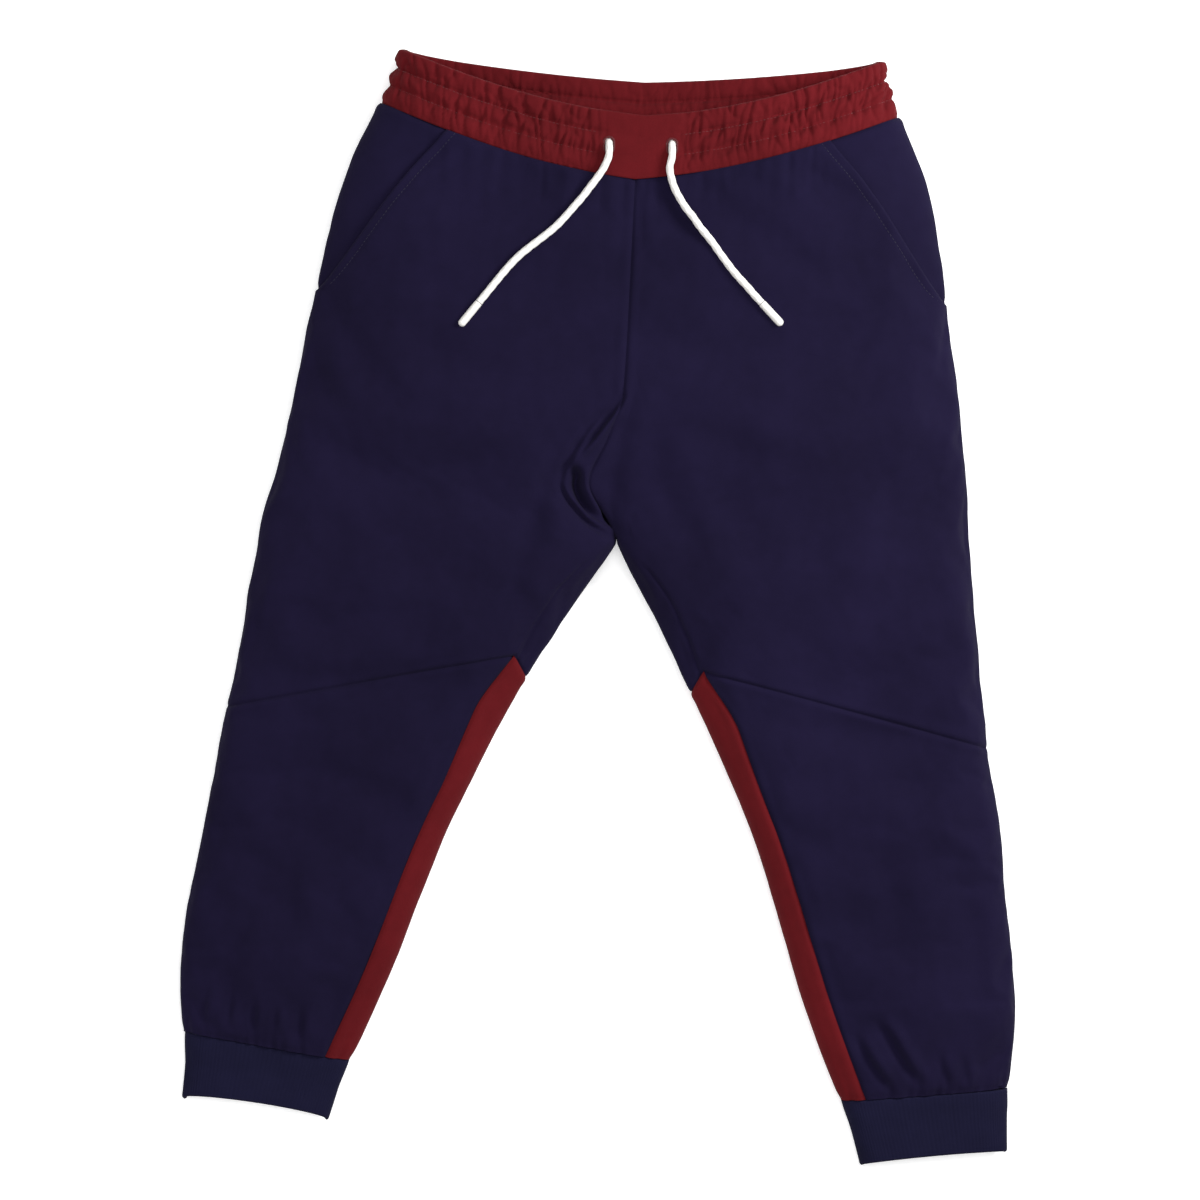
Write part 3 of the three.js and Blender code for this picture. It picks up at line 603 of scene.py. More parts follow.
def hanging_creases(seed, low, high, count):
    random = np.random.default_rng(seed)
    places = np.linspace(low, high, count) + random.uniform(-CREASE_JITTER, CREASE_JITTER, count)
    return [(place, *[random.uniform(*ends) for ends in CREASE_RANGES]) for place in places]


WAIST_CREASES = {1: hanging_creases(21, -0.15, 0.20, 30), -1: hanging_creases(22, -0.19, 0.24, 38)}


def waist_creases(x, drop, face):
    total = 0
    for place, length, depth, width, lean in WAIST_CREASES[face]:
        fade = smoothstep(drop, 0, 0.003) * (1 - smoothstep(drop, 0.15 * length, length))
        total = total - depth * fade * bell(x - place - lean * drop, width * (1 + 8 * drop))
    return total


# Height of a swell and its spacing across and along the legs
SWELLS = [(broad, 0.0034, 0.105, 0.14), (middling, 0.0016, 0.042, 0.055), (fine_noise, 0.0004, 0.013, 0.017)]
BACK_SWELLS = [(broad, 0.0010, 0.09, 0.12), (middling, 0.0005, 0.04, 0.05)]


def cloth_relief(grid, face):
    """The slow swell of the cloth with smaller wrinkles on it; the back is only ever dented."""
    x, y = grid.points[..., 0], grid.points[..., 1]
    if face > 0:
        swell = sum(height * noise(x / wide, y / long) for noise, height, wide, long in SWELLS)
        return swell + drawn_folds(grid, LEG_FOLDS)
    return -sum(height * np.abs(noise(x / wide, y / long)) for noise, height, wide, long in BACK_SWELLS)


SIM_PITCH = 0.0085
SIM_FRAMES = 24
SIM_UNEVEN = 0.0006  # how uneven the cloth is at the start
SIM_SLACK = 0.006  # how much too large the cloth is, as a share
SIM_KNIT = dict(quality=6, mass=0.2, tension_stiffness=12, compression_stiffness=12, shear_stiffness=4,
                bending_stiffness=0.08, air_damping=2, vertex_group_mass="held", shrink_min=-SIM_SLACK)
SIM_LIMIT = 0.0060  # the furthest that any point may move
SETTLED = {}


class Settled:
    """The front of a leg as cloth a little too large for its outline, held all round and let go."""

    def __init__(self, name, leg):
        self.downs = np.linspace(0, 2, round((SIDE_LENGTH + KNEE_TO_CUFF) / SIM_PITCH))
        self.across = np.linspace(0, 1, round(1.2 * KNEE_WIDTH / SIM_PITCH))
        start = leg.body(1, self.across[None, :], self.downs[:, None])
        sides = turned_outwards(start, 1)
        x, y = start[..., 0], start[..., 1]
        begin = start + sides * (SIM_UNEVEN * middling(x / 0.03, y / 0.05))[..., None]
        rows, columns = start.shape[:2]
        flat = begin.reshape(-1, 3)
        faces = facing_out(flat, grid_faces(rows, columns), sides.reshape(-1, 3))
        cloth = build(f"{name}_settling", flat, faces)
        edge = np.ones((rows, columns), bool)
        edge[1:-1, 1:-1] = False
        held = cloth.vertex_groups.new(name="held")
        held.add(np.where(edge.ravel())[0].tolist(), 1.0, "REPLACE")
        moved = ((self.settle(cloth) - start) * sides).sum(axis=-1)
        self.offsets = np.clip(moved, -SIM_LIMIT, SIM_LIMIT)

    def settle(self, cloth):
        scene = bpy.context.scene
        modifier = cloth.modifiers.new("Cloth", "CLOTH")
        modifier.point_cache.frame_end = SIM_FRAMES
        modifier.collision_settings.use_collision = False
        for key, value in SIM_KNIT.items():
            setattr(modifier.settings, key, value)
        modifier.settings.effector_weights.gravity = 0
        for step in range(1, SIM_FRAMES + 1):
            scene.frame_set(step)
        shape = cloth.evaluated_get(bpy.context.evaluated_depsgraph_get()).data
        points = np.empty(3 * len(shape.vertices), np.float32)
        shape.vertices.foreach_get("co", points)
        mesh = cloth.data
        bpy.data.objects.remove(cloth)
        bpy.data.meshes.remove(mesh)
        scene.frame_set(1)
        return points.astype(float).reshape(len(self.downs), len(self.across), 3)

    def __call__(self, grid):
        row = np.interp(grid.down, self.downs, np.arange(len(self.downs)))
        column = np.interp(grid.across, self.across, np.arange(len(self.across)))
        i = np.minimum(row.astype(int), len(self.downs) - 2)
        j = np.minimum(column.astype(int), len(self.across) - 2)
        upper = lerp(self.offsets[i, j], self.offsets[i, j + 1], column - j)
        lower = lerp(self.offsets[i + 1, j], self.offsets[i + 1, j + 1], column - j)
        return lerp(upper, lower, row - i)


def settled(name, grid):
    """The wrinkles the simulation found, faded out beside the seams."""
    if name not in SETTLED:
        return 0 * grid.across
    beside = smoothstep(grid.from_last, 0, 0.02) * smoothstep(grid.from_first, 0, 0.012)
    return SETTLED[name](grid) * beside


def laid(grid, relief, face):
    """The grid's points with the relief added, kept on or above the surface they lie on."""
    points = grid.points + grid.normals * relief[..., None]
    if face > 0:
        points = bend_front(points)
    points[..., 2] = np.maximum(points[..., 2], LEAST_HEIGHT)
    return points


# ---- Materials ----

class Nodes:
    """A material's node tree, with one call for each kind of step it needs."""

    def __init__(self, name, **constants):
        self.material = bpy.data.materials.new(name)
        self.material.use_nodes = True
        self.tree = self.material.node_tree
        self.shader = self.tree.nodes["Principled BSDF"]
        for socket, value in constants.items():
            self.shader.inputs[socket.replace("_", " ")].default_value = value

    def feed(self, socket, value):
        if isinstance(value, bpy.types.NodeSocket):
            self.tree.links.new(value, socket)
        else:
            socket.default_value = value

    def node(self, kind, inputs=(), **settings):
        node = self.tree.nodes.new(kind)
        for key, value in settings.items():
            setattr(node, key, value)
        for key, value in dict(inputs).items():
            self.feed(node.inputs[key], value)
        return node

    def maths(self, operation, *values):
        return self.node("ShaderNodeMath", dict(enumerate(values)), operation=operation).outputs[0]

    def noise(self, where, scale, detail=2.0):
        inputs = {"Vector": where, "Scale": scale, "Detail": detail, "Roughness": 0.6}
        return self.node("ShaderNodeTexNoise", inputs).outputs["Fac"]

    def blend(self, amount, first, second):
        mix = self.node("ShaderNodeMix", data_type="RGBA")
        for place, value in ((0, amount), (6, first), (7, second)):
            self.feed(mix.inputs[place], value)
        return mix.outputs[2]

    def finish(self, colour, roughness, height, strength, distance):
        inputs = {"Height": height, "Strength": strength, "Distance": distance}
        bump = self.node("ShaderNodeBump", inputs).outputs[0]
        for socket, value in (("Base Color", colour), ("Roughness", roughness), ("Normal", bump)):
            self.feed(self.shader.inputs[socket], value)
        return self.material


def linear(red, green, blue):
    """A colour given as it looks on a screen, 0 to 255, in the values that shaders use."""
    return (*[((c / 255 + 0.055) / 1.055) ** 2.4 for c in (red, green, blue)], 1)


def shades(colour, dark=0.74, light=1.24):
    return ([c * dark for c in colour[:3]] + [1], [c * light for c in colour[:3]] + [1])


FIBRE = 0.35  # height of the pile as a share of the stitches' height
LOOP_TONE = 0.22  # share of the change of tone that each of these has
FLECK_TONE = 0.30
PATCH_TONE = 1.60
STREAK_TONE = 0.40
MIDDLE_TONE = 0.76


def knit(name, colour, wale, course, depth, sheen, mapped=True):
    """Jersey: columns of V-shaped stitches with painted shade in the gaps between them, with flecked yarn
    and slow changes of tone.
    """
    made = Nodes(name, Sheen_Weight=sheen, Sheen_Roughness=0.6, Specular_IOR_Level=0.05)
    objects = made.node("ShaderNodeTexCoord").outputs["Object"]
    where = made.node("ShaderNodeUVMap", uv_map="cloth").outputs[0] if mapped else objects
    split = made.node("ShaderNodeSeparateXYZ", {"Vector": where})
    column = made.maths("FRACT", made.maths("DIVIDE", split.outputs[0], wale))
    lean = made.maths("ABSOLUTE", made.maths("SUBTRACT", column, 0.5))
    row = made.maths("ADD", made.maths("DIVIDE", split.outputs[1], course), lean)
    stitch = made.maths("SINE", made.maths("MULTIPLY", made.maths("FRACT", row), math.pi))
    legs = made.maths("SINE", made.maths("MULTIPLY", lean, 2 * math.pi))
    loops = made.maths("MULTIPLY", made.maths("ADD", stitch, legs), 0.5)
    fleck = made.noise(objects, 1900, 3)
    patches = made.noise(objects, 7, 4)
    streaks = made.noise(objects, 90, 2)
    height = made.maths("ADD", loops, made.maths("MULTIPLY", fleck, FIBRE))
    # Painted shade: the stitches' crests are made lighter and the gaps between them darker, following the
    # same loop height as the bump.
    tone = made.maths("MULTIPLY", loops, LOOP_TONE)
    for part, share in ((fleck, FLECK_TONE), (patches, PATCH_TONE), (streaks, STREAK_TONE)):
        tone = made.maths("ADD", tone, made.maths("MULTIPLY", part, share))
    tone = made.maths("SUBTRACT", tone, MIDDLE_TONE)
    dark, light = shades(colour)
    mixed = made.blend(tone, dark, light)
    roughness = made.maths("ADD", made.maths("MULTIPLY", fleck, 0.12), 0.82)
    return made.finish(mixed, roughness, height, 0.55, depth)


def yarn(name, colour, scale, depth, roughness=0.7, sheen=0.2):
    """Twisted fibres, for cords, threads and elastic."""
    made = Nodes(name, Sheen_Weight=sheen, Sheen_Roughness=0.5, Specular_IOR_Level=0.25)
    objects = made.node("ShaderNodeTexCoord").outputs["Object"]
    fibres = made.noise(objects, scale, 4)
    patches = made.noise(objects, 60, 2)
    dark, light = shades(colour, 0.90, 1.04)
    tone = made.maths("ADD", made.maths("MULTIPLY", fibres, 0.6), made.maths("MULTIPLY", patches, 0.4))
    rough = made.maths("ADD", made.maths("MULTIPLY", fibres, 0.15), roughness - 0.07)
    return made.finish(made.blend(tone, dark, light), rough, fibres, 0.5, depth)


NAVY = linear(23, 18, 43)
MAROON = linear(90, 19, 24)
RIB = linear(23, 22, 45)
LINING = linear(38, 34, 60)
JERSEY = (0.0011, 0.0009, 0.00022, 0.012)  # spacing of the wales and courses, depth, sheen
navy_cloth = knit("navy_knit", NAVY, *JERSEY)
maroon_cloth = knit("maroon_knit", MAROON, *JERSEY)
rib_cloth = knit("navy_rib", RIB, 0.0010, 0.0008, 0.00018, 0.012)
inner_navy = knit("navy_knit_inside", NAVY, *JERSEY, mapped=False)
lining_cloth = knit("pocket_lining", LINING, 0.0013, 0.0011, 0.00015, 0.05, mapped=False)
cord_yarn = yarn("cotton_cord", linear(244, 241, 237), 2600, 0.00012)
tip_wrap = yarn("cotton_cord_tip", linear(240, 237, 233), 900, 0.00006, 0.5, 0.05)
elastic_yarn = yarn("elastic", linear(222, 219, 212), 1800, 0.00015)
maroon_thread = yarn("maroon_thread", linear(96, 23, 29), 4000, 0.00005)
navy_thread = yarn("navy_thread", linear(26, 23, 46), 4000, 0.00005)


# ---- Pieces ----

def wear(obj, material, slot, *nodes):
    obj.data.materials.append(material)
    if nodes:
        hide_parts(*nodes)
    return obj


def ones(downs, value=1.0):
    return np.full(len(downs), value)


def bend_at_knee(obj, name):
    """Reads the knee joint's axis and works out the direction below it, but turns nothing; only bakes the
    object's placement into its mesh.
    """
    joint = next(j for j in frame["joints"] if j["name"] == f"{name}_knee_fold")
    axis = Vector(joint["axis"])
    below = Vector((axis.y, -axis.x, 0)).normalized()
    below *= -math.copysign(1, below.y)
    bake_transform(obj)


def panel(piece, node, grid, relief, face, lower_leg=None):
    """A sheet of cloth that stands for one CAD node; it is fixed to the hips unless it names a lower leg,
    when its placement is baked into its mesh instead.
    """
    points = laid(grid, relief, face)
    obj = shell(piece, points, grid.normals, CLOTH, grid.uv)
    colour = "maroon" if "inseam" in piece else "navy"
    wear(obj, {"maroon": maroon_cloth, "navy": navy_cloth}[colour], f"{colour}_knit", node)
    if lower_leg:
        bend_at_knee(obj, lower_leg)
    else:
        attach(obj, "hips")
    return points


UPPER_DOWNS = rows_between(0, 1, SIDE_LENGTH)
SHIN_DOWNS = rows_between(1, 2, KNEE_TO_CUFF)
CUFF_STEP = 0.0016  # how far the shin's end turns in to meet the narrower cuff
CUFF_STEP_REACH = 0.0060
GATHER_DEPTH = 0.0026  # of the small gathers beside the cuff
GATHER_PITCH = 0.0085
GATHER_REACH = 0.016
POCKET_STITCH = 0.0085
POCKET_GAPE = 0.0010
POCKET_CLOSE = 0.02  # length over which the slant turns into the side seam, in `down`
BESIDE_POCKET = 0.02
POCKET_EDGE_WIDTH = 0.0012
STITCH_DENT = 0.0005
# The seam between the legs above the inseam panel: its distance from the inner fold, by `down`
INSEAM_LINE_AT = through([(-1, 0.012), (0.72, 0.012), (0.78, 0.025), (0.86, 0.029), (1, 0.0225)])
FACING_REACH = 0.06  # how far the facing goes in under the front panel, in `across`
FACING_SINK = 0.0040
FACING_MORE = 0.006  # how far it goes on below the slant's lower end, in `down`


def upper_front(name, leg):
    first = np.where(UPPER_DOWNS < POCKET_DOWN, pocket_edge(UPPER_DOWNS), 0)
    grid = Grid([(leg, 1, first, ones(UPPER_DOWNS))], UPPER_DOWNS, near_last=LINE_STEPS)
    slant = 1 - smoothstep(grid.down, POCKET_DOWN - POCKET_CLOSE, POCKET_DOWN)
    relief = cloth_relief(grid, 1) + settled(name, grid) + drawn_folds(grid, CROTCH_FOLDS)
    creases = waist_creases(grid.points[..., 0], grid.from_top, 1)
    relief += creases * (1 - 0.7 * bell(grid.from_first, BESIDE_POCKET))
    relief += seam_roll(grid.from_top) + cross_roll(grid, grid.from_bottom, at_last=True)
    relief += seam_roll(grid.from_last) + seam_roll(grid.from_first) * (1 - slant)
    gape = POCKET_GAPE * np.sin(math.pi * np.clip(grid.down / POCKET_DOWN, 0, 1))
    relief += slant * gape * bell(grid.from_first, BESIDE_POCKET)
    relief -= slant * POCKET_GAPE * bell(grid.from_first, POCKET_EDGE_WIDTH)
    relief -= slant * STITCH_DENT * bell(grid.from_first - POCKET_STITCH, 2 * STITCH_DENT)
    line = INSEAM_LINE_AT(grid.down)[..., 0]
    shown = smoothstep(grid.down, 0.74, 0.80)
    relief += shown * seam_roll(np.abs(grid.from_last - line), 0.0010)
    points = panel(f"{name}_front_panel_cloth", f"{name}_front_panel", grid, relief, 1)
    pocket_stitches(name, grid, points)


def upper_back(name, leg):
    grid = Grid([(leg, -1, ones(UPPER_DOWNS, 0), ones(UPPER_DOWNS))], UPPER_DOWNS)
    relief = cloth_relief(grid, -1) + waist_creases(grid.points[..., 0], grid.from_top, -1)
    relief += seam_roll(grid.from_top) + cross_roll(grid, grid.from_bottom, at_last=True)
    relief += seam_roll(grid.from_first) + seam_roll(grid.from_last)
    panel(f"{name}_back_panel_cloth", f"{name}_back_panel", grid, relief, -1)


def gather_at_cuff(grid):
    ripple = np.abs(fine_noise(grid.from_first / GATHER_PITCH, grid.from_bottom / 0.05 + 7))
    fade = np.exp(-grid.from_bottom / GATHER_REACH)
    return -GATHER_DEPTH * ripple * fade - CUFF_STEP * bell(grid.from_bottom, CUFF_STEP_REACH)


def shin(name, leg, face):
    edge = inseam_edge(leg, SHIN_DOWNS)
    grid = Grid([(leg, face, ones(SHIN_DOWNS, 0), edge)], SHIN_DOWNS)
    relief = cloth_relief(grid, face) + gather_at_cuff(grid)
    if face > 0:
        relief += settled(name, grid) + drawn_folds(grid, CUFF_FOLDS)
    relief += cross_roll(grid, grid.from_top) + seam_roll(grid.from_first) + seam_roll(grid.from_last)
    side = "front" if face > 0 else "back"
    panel(f"{name}_{side}_shin_cloth", f"{name}_{side}_shin_panel", grid, relief, face, name)


def inseam_strip(name, leg):
    edge = inseam_edge(leg, SHIN_DOWNS)
    parts = [(leg, 1, edge, ones(SHIN_DOWNS)), (leg, -1, ones(SHIN_DOWNS), edge)]
    grid = Grid(parts, SHIN_DOWNS, pitch=0.0025)
    relief = 0.4 * cloth_relief(grid, 1) + gather_at_cuff(grid)
    relief += seam_roll(grid.from_top) + seam_roll(grid.from_first) + seam_roll(grid.from_last)
    panel(f"{name}_inseam_cloth", f"{name}_inseam_panel", grid, relief, -1, name)


def facing(name, leg):
    end = POCKET_DOWN + FACING_MORE
    downs = rows_between(0, end, SIDE_LENGTH * POCKET_DOWN)
    edge = pocket_edge(downs)
    grid = Grid([(leg, 1, ones(downs, 0), edge + FACING_REACH)], downs, near_last=NO_STEPS)
    closed = smoothstep(grid.down, POCKET_DOWN - 0.016, end)
    sink = smoothstep(grid.across, 0.2 * edge[:, None] - 0.01, 0.93 * edge[:, None] + 0.001)
    sink = FACING_SINK * np.maximum(sink, 0.7 * closed)
    relief = cloth_relief(grid, 1) - sink + seam_roll(grid.from_top) + seam_roll(grid.from_first)
    panel(f"{name}_pocket_facing_cloth", f"{name}_pocket_facing", grid, relief, 1)


# ---- Threads: short tapered strands that rise out of the cloth and dip back into it ----

THREAD_SIDES = 6
# Share of the length, thickness and lift, both in radii
THREAD_RINGS = [(0, 0.35, -0.9), (0.12, 0.85, -0.1), (0.5, 1, 0.25), (0.88, 0.85, -0.1), (1, 0.35, -0.9)]


def threads(name, starts, ends, normals, radius, material):
    along = ends - starts
    heading = unit(along)
    sideways = unit(np.cross(heading, normals))
    up = np.cross(sideways, heading)
    turn = np.arange(THREAD_SIDES) * 2 * math.pi / THREAD_SIDES
    points = []
    for share, size, lift in THREAD_RINGS:
        centre = starts + along * share + up * lift * radius
        for angle in turn:
            points.append(centre + radius * size * (sideways * math.cos(angle) + up * math.sin(angle)))
    points = np.array(points).transpose(1, 0, 2)
    strand = grid_faces(len(THREAD_RINGS), THREAD_SIDES, wrap_columns=True)
    caps = []
    for ring, order in ((0, 1), ((len(THREAD_RINGS) - 1) * THREAD_SIDES, -1)):
        loop = (ring + np.arange(THREAD_SIDES))[::order]
        caps += [loop[[0, 1, 2, 3]], loop[[3, 4, 5, 0]]]
    strand = np.concatenate([strand, np.array(caps)])
    offsets = np.arange(len(starts))[:, None, None] * points.shape[1]
    faces = (strand[None] + offsets).reshape(-1, 4)
    obj = build(name, points.reshape(-1, 3), faces)
    wear(obj, material, "stitching")
    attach(obj, "hips")
    return obj


STITCH_LENGTH = 0.0027
STITCH_SPACE = 0.0009
THREAD_RADIUS = 0.00028
TACK_RADIUS = 0.00032
TACK_BARS = 12
TACK_HALF_LENGTH = 0.0035


def stitch_run(name, path, normals, material):
    """A row of stitches along a path of points on the cloth."""
    arc = run_along(path)
    count = int(arc[-1] / (STITCH_LENGTH + STITCH_SPACE))
    begin = (np.arange(count) + 0.15) * arc[-1] / count
    up = read_at(begin + STITCH_LENGTH / 2, arc, normals)
    ends = read_at(begin + STITCH_LENGTH, arc, path)
    threads(name, read_at(begin, arc, path), ends, up, THREAD_RADIUS, material)


def pocket_stitches(name, grid, points):
    """The row of stitches beside the slant, and the tack that closes its lower end."""
    rows = np.where(grid.down[:, 0] < POCKET_DOWN - 0.004)[0]
    path, up = (np.array([read_at(POCKET_STITCH, grid.from_first[row], values[row]) for row in rows])
                for values in (points, grid.normals))
    stitch_run(f"{name}_pocket_stitches", path, up, navy_thread)
    reach = path[-1] - points[rows[-1], 0]
    across = np.linspace(-TACK_HALF_LENGTH, TACK_HALF_LENGTH, TACK_BARS)[:, None]
    starts = points[rows[-1], 0] + reach * 0.1 + unit(path[-2] - path[-1]) * across
    normal = np.tile(up[-1], (TACK_BARS, 1))
    threads(f"{name}_pocket_tack", starts, starts + reach * 0.85, normal, TACK_RADIUS, navy_thread)


# ---- Waistband ----

BAND_PITCH = 0.0013
BAND_LAYER_ROWS = 34
BAND_STITCH_ROWS = (11, 22)  # the rows that lie in the grooves between the channels
BAND_OUTER_ROWS = slice(2, 30)
BAND_ROOF = 0.0024
CHANNEL_MIDDLE = 0.0070
INNER_DEPTHS = [0.0112, 0.0136, 0.0112]  # the inner layer's depth behind each channel, bottom to top
ROW_DEPTH = 0.0080  # the same at the rows of stitches, where the layers meet
PUCKER = 0.0021
PUCKER_MOST = 0.0032
PUCKER_PITCH = 0.0072
BROAD_PUCKER_PITCH = 0.0150
PINCH_PITCH = 0.0046
INNER_PUCKER = 0.45  # the inner layer's creases as a share of the outer ones
SMOOTH_REACH = 0.034  # half the stretch between the buttonholes that has no elastic


def hole_place(name):
    low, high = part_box(f"{name}_buttonhole")
    return np.array([(low.x + high.x) / 2, (low.y + high.y) / 2, high.z - SEAM_GAP])


HOLES = {name: hole_place(name) for name in LEGS}
HOLES_MIDDLE = (HOLES["right"][0] + HOLES["left"][0]) / 2
HOLE_DROP = 0.0020
HOLE_HALF_WIDTH = 0.0039
HOLE_STRAIGHT = 0.0024
HOLE_SNAP = 0.0009  # points nearer to its edge than this are moved onto the edge
HOLE_DEPTH = 0.004


def from_hole(points, name):
    """Distance outside the edge of a buttonhole, and the nearest point of its middle line."""
    centre = HOLES[name][:2] - (0, HOLE_DROP)
    middle = np.stack([np.full(points.shape[:-1], centre[0]),
                       np.clip(points[..., 1], centre[1] - HOLE_STRAIGHT, centre[1] + HOLE_STRAIGHT)], -1)
    away = points[..., :2] - middle
    distance = np.linalg.norm(away, axis=-1)
    outside = distance - HOLE_HALF_WIDTH
    below = points[..., 2] < HOLES[name][2] - HOLE_DEPTH
    return np.where(below, 1.0, outside), middle, away / np.maximum(distance, 1e-9)[..., None]


def band_columns(face):
    """The legs and places across them of the waistband's columns, from the right side to the left."""
    columns = []
    for name in ("right", "left"):
        leg = LEGS[name]
        grid = leg.body(face, FINE, np.full(FINE.shape, -0.5))
        arc = run_along(grid)
        count = round(arc[-1] / BAND_PITCH)
        across = np.interp(np.linspace(0, arc[-1], count + 1), arc, FINE)
        columns.append((leg, across if name == "right" else across[::-1][1:]))
    return columns


def channel_rise(up):
    """How far the cloth stands up between the rows of stitches, 0 to 1; it stays up at the top edge."""
    rise = np.abs(np.sin(math.pi * BAND_ROWS * up)) ** 0.55
    last = 1 - 0.5 / BAND_ROWS
    return np.where(up > last, 1, np.where(up < 0.5 / BAND_ROWS, np.maximum(rise, 0.5), rise))


def band_profile():
    """Rows of (depth, up, share of the pucker), up the outer layer, over the top and down the inner."""
    up = np.linspace(0, 1 - BAND_ROOF / BAND_HEIGHT, BAND_LAYER_ROWS)
    between = channel_rise(up)
    outer = STITCH_GROOVE * (1 - between)
    outer[0] = STITCH_GROOVE * 0.6
    channel = np.minimum((up * BAND_ROWS).astype(int), BAND_ROWS - 1)
    inner = lerp(ROW_DEPTH, np.array(INNER_DEPTHS)[channel], between)
    turn = np.linspace(0, math.pi, 9)[1:-1]
    middle, reach = (outer[-1] + inner[-1]) / 2, (inner[-1] - outer[-1]) / 2
    rows = [(d, u, 1.0) for d, u in zip(outer, up)]
    for t in turn:
        share = math.cos(t) if t < math.pi / 2 else INNER_PUCKER * math.cos(t)
        rows.append((middle - reach * math.cos(t), up[-1] + BAND_ROOF / BAND_HEIGHT * math.sin(t), share))
    rows += [(d, u, -INNER_PUCKER) for d, u in zip(inner[::-1], up[::-1])]
    return np.array(rows)


def band_pucker(x, up, face, smooth):
    """How far the gathered cloth stands out; not at all where it is smooth."""
    waver = 0.5 * middling(x / 0.03, up * 2 + 3)
    creases = bell(pucker_noise(x / PUCKER_PITCH + waver, up * 1.7 + 5 + face), 0.20)
    broader = bell(pucker_noise(x / BROAD_PUCKER_PITCH + waver, up * 2.6 + 11 + face), 0.16)
    pinch = bell(pucker_noise(x / PINCH_PITCH + waver, up * 0.8 + 21 + face), 0.24)
    strength = 0.65 + 0.7 * np.abs(broad(x / 0.05, up + 4))
    pucker = PUCKER * strength * (1.1 * creases + 0.8 * broader - 0.35)
    pucker += 0.9 * PUCKER * pinch * (1 - channel_rise(up)) ** 0.5
    near_seam = 0.35 + 0.65 * smoothstep(up, 0, 0.30)
    return np.minimum(pucker * (1 - 0.94 * smooth) * near_seam, PUCKER_MOST)


def waistband(face):
    side = "front" if face > 0 else "back"
    rows = band_profile()
    depth, up, outwards = (rows[:, k][:, None] for k in range(3))
    layers = []
    for leg, across in band_columns(face):
        x = leg.body(face, across[None, :], -up)[..., 0]
        smooth = smoothstep(bell(x - HOLES_MIDDLE, SMOOTH_REACH), 0.1, 0.6) if face > 0 else 0 * x
        outer_depth = depth * (1 - 0.75 * smooth)
        pucker = band_pucker(x, up, face, smooth)
        inside = np.where(outwards > 0, outer_depth, depth) + pucker * outwards
        layers.append(leg.body(face, across[None, :], -up, inside))
    points = np.concatenate(layers, axis=1)
    points[..., 2] = np.maximum(points[..., 2], LEAST_HEIGHT)
    normals = turned_outwards(points, face, BAND_OUTER_ROWS)
    across_run = run_along(points[BAND_LAYER_ROWS // 2 - 1])
    uv = np.stack(np.meshgrid(across_run, run_along(rows[:, :2] * (1, BAND_HEIGHT))), axis=-1)
    if face > 0:
        for name in HOLES:
            outside, middle, away = from_hole(points, name)
            close = np.abs(outside) < HOLE_SNAP
            moved = middle + away * HOLE_HALF_WIDTH
            points[..., :2] = np.where(close[..., None], moved, points[..., :2])

    def keep(centres):
        return np.all([from_hole(centres, name)[0] > -0.0001 for name in HOLES], axis=0)

    cloth = shell(f"waistband_{side}_cloth", points, normals, BAND_CLOTH, uv, keep if face > 0 else None)
    wear(cloth, maroon_cloth, "maroon_knit", f"waistband_{side}")
    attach(cloth, "hips")
    for row, place in enumerate(BAND_STITCH_ROWS):
        shown = np.abs(points[place, :, 0] - HOLES_MIDDLE) > SMOOTH_REACH * 1.1
        for part, chosen in enumerate(split_runs(shown)):
            stitch_run(f"waistband_{side}_stitches_{row}_{part}", points[place, chosen],
                       normals[place, chosen], maroon_thread)


def split_runs(shown):
    """The stretches of columns that are shown, as lists of their numbers."""
    numbers = np.where(shown)[0]
    return np.split(numbers, np.where(np.diff(numbers) > 1)[0] + 1)


HOLE_BARS = 64
BAR_IN = 0.0004
BAR_OUT = 0.0015
BAR_RADIUS = 0.00026


def buttonhole(name):
    """Close bars of thread over the edge of the slit, all the way round it."""
    arc = math.pi * HOLE_HALF_WIDTH
    marks = np.cumsum([0, arc, 2 * HOLE_STRAIGHT, arc, 2 * HOLE_STRAIGHT])
    run = np.arange(HOLE_BARS) / HOLE_BARS * marks[-1]
    turn = np.interp(run, marks, np.array([0, 1, 1, 2, 2]) * math.pi)
    shift = np.interp(run, marks, np.array([1, 1, -1, -1, 1]) * HOLE_STRAIGHT)
    out = np.stack([np.cos(turn), np.sin(turn), 0 * turn], axis=1)
    middle = HOLES[name] + np.stack([0 * turn, shift - HOLE_DROP, 0 * turn], axis=1)
    obj = threads(f"{name}_buttonhole_thread", middle + out * (HOLE_HALF_WIDTH - BAR_IN),
                  middle + out * (HOLE_HALF_WIDTH + BAR_OUT), np.tile([0.0, 0.0, 1.0], (HOLE_BARS, 1)),
                  BAR_RADIUS, maroon_thread)
    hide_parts(f"{name}_buttonhole")


# ---- Cuffs ----

RIB_PITCH = 0.0027
RIB_DEPTH = 0.00045
RIB_WAVER = 0.0011
CUFF_WALL = 0.0040
CUFF_COLUMNS = 420
CUFF_ROWS = 26  # in each of the two layers
CUFF_TURN = 0.96  # where the turn at the hem starts, as a share of the height
CUFF_STRETCH = 1.08  # length round the rib as a share of twice its width
HEM_BOW = {"right": 0.0075, "left": 0.0038}  # how far the hem curves up between its ends
CUFF_EASE = 0.0018  # how far the rib is stretched out where it is sewn to the leg


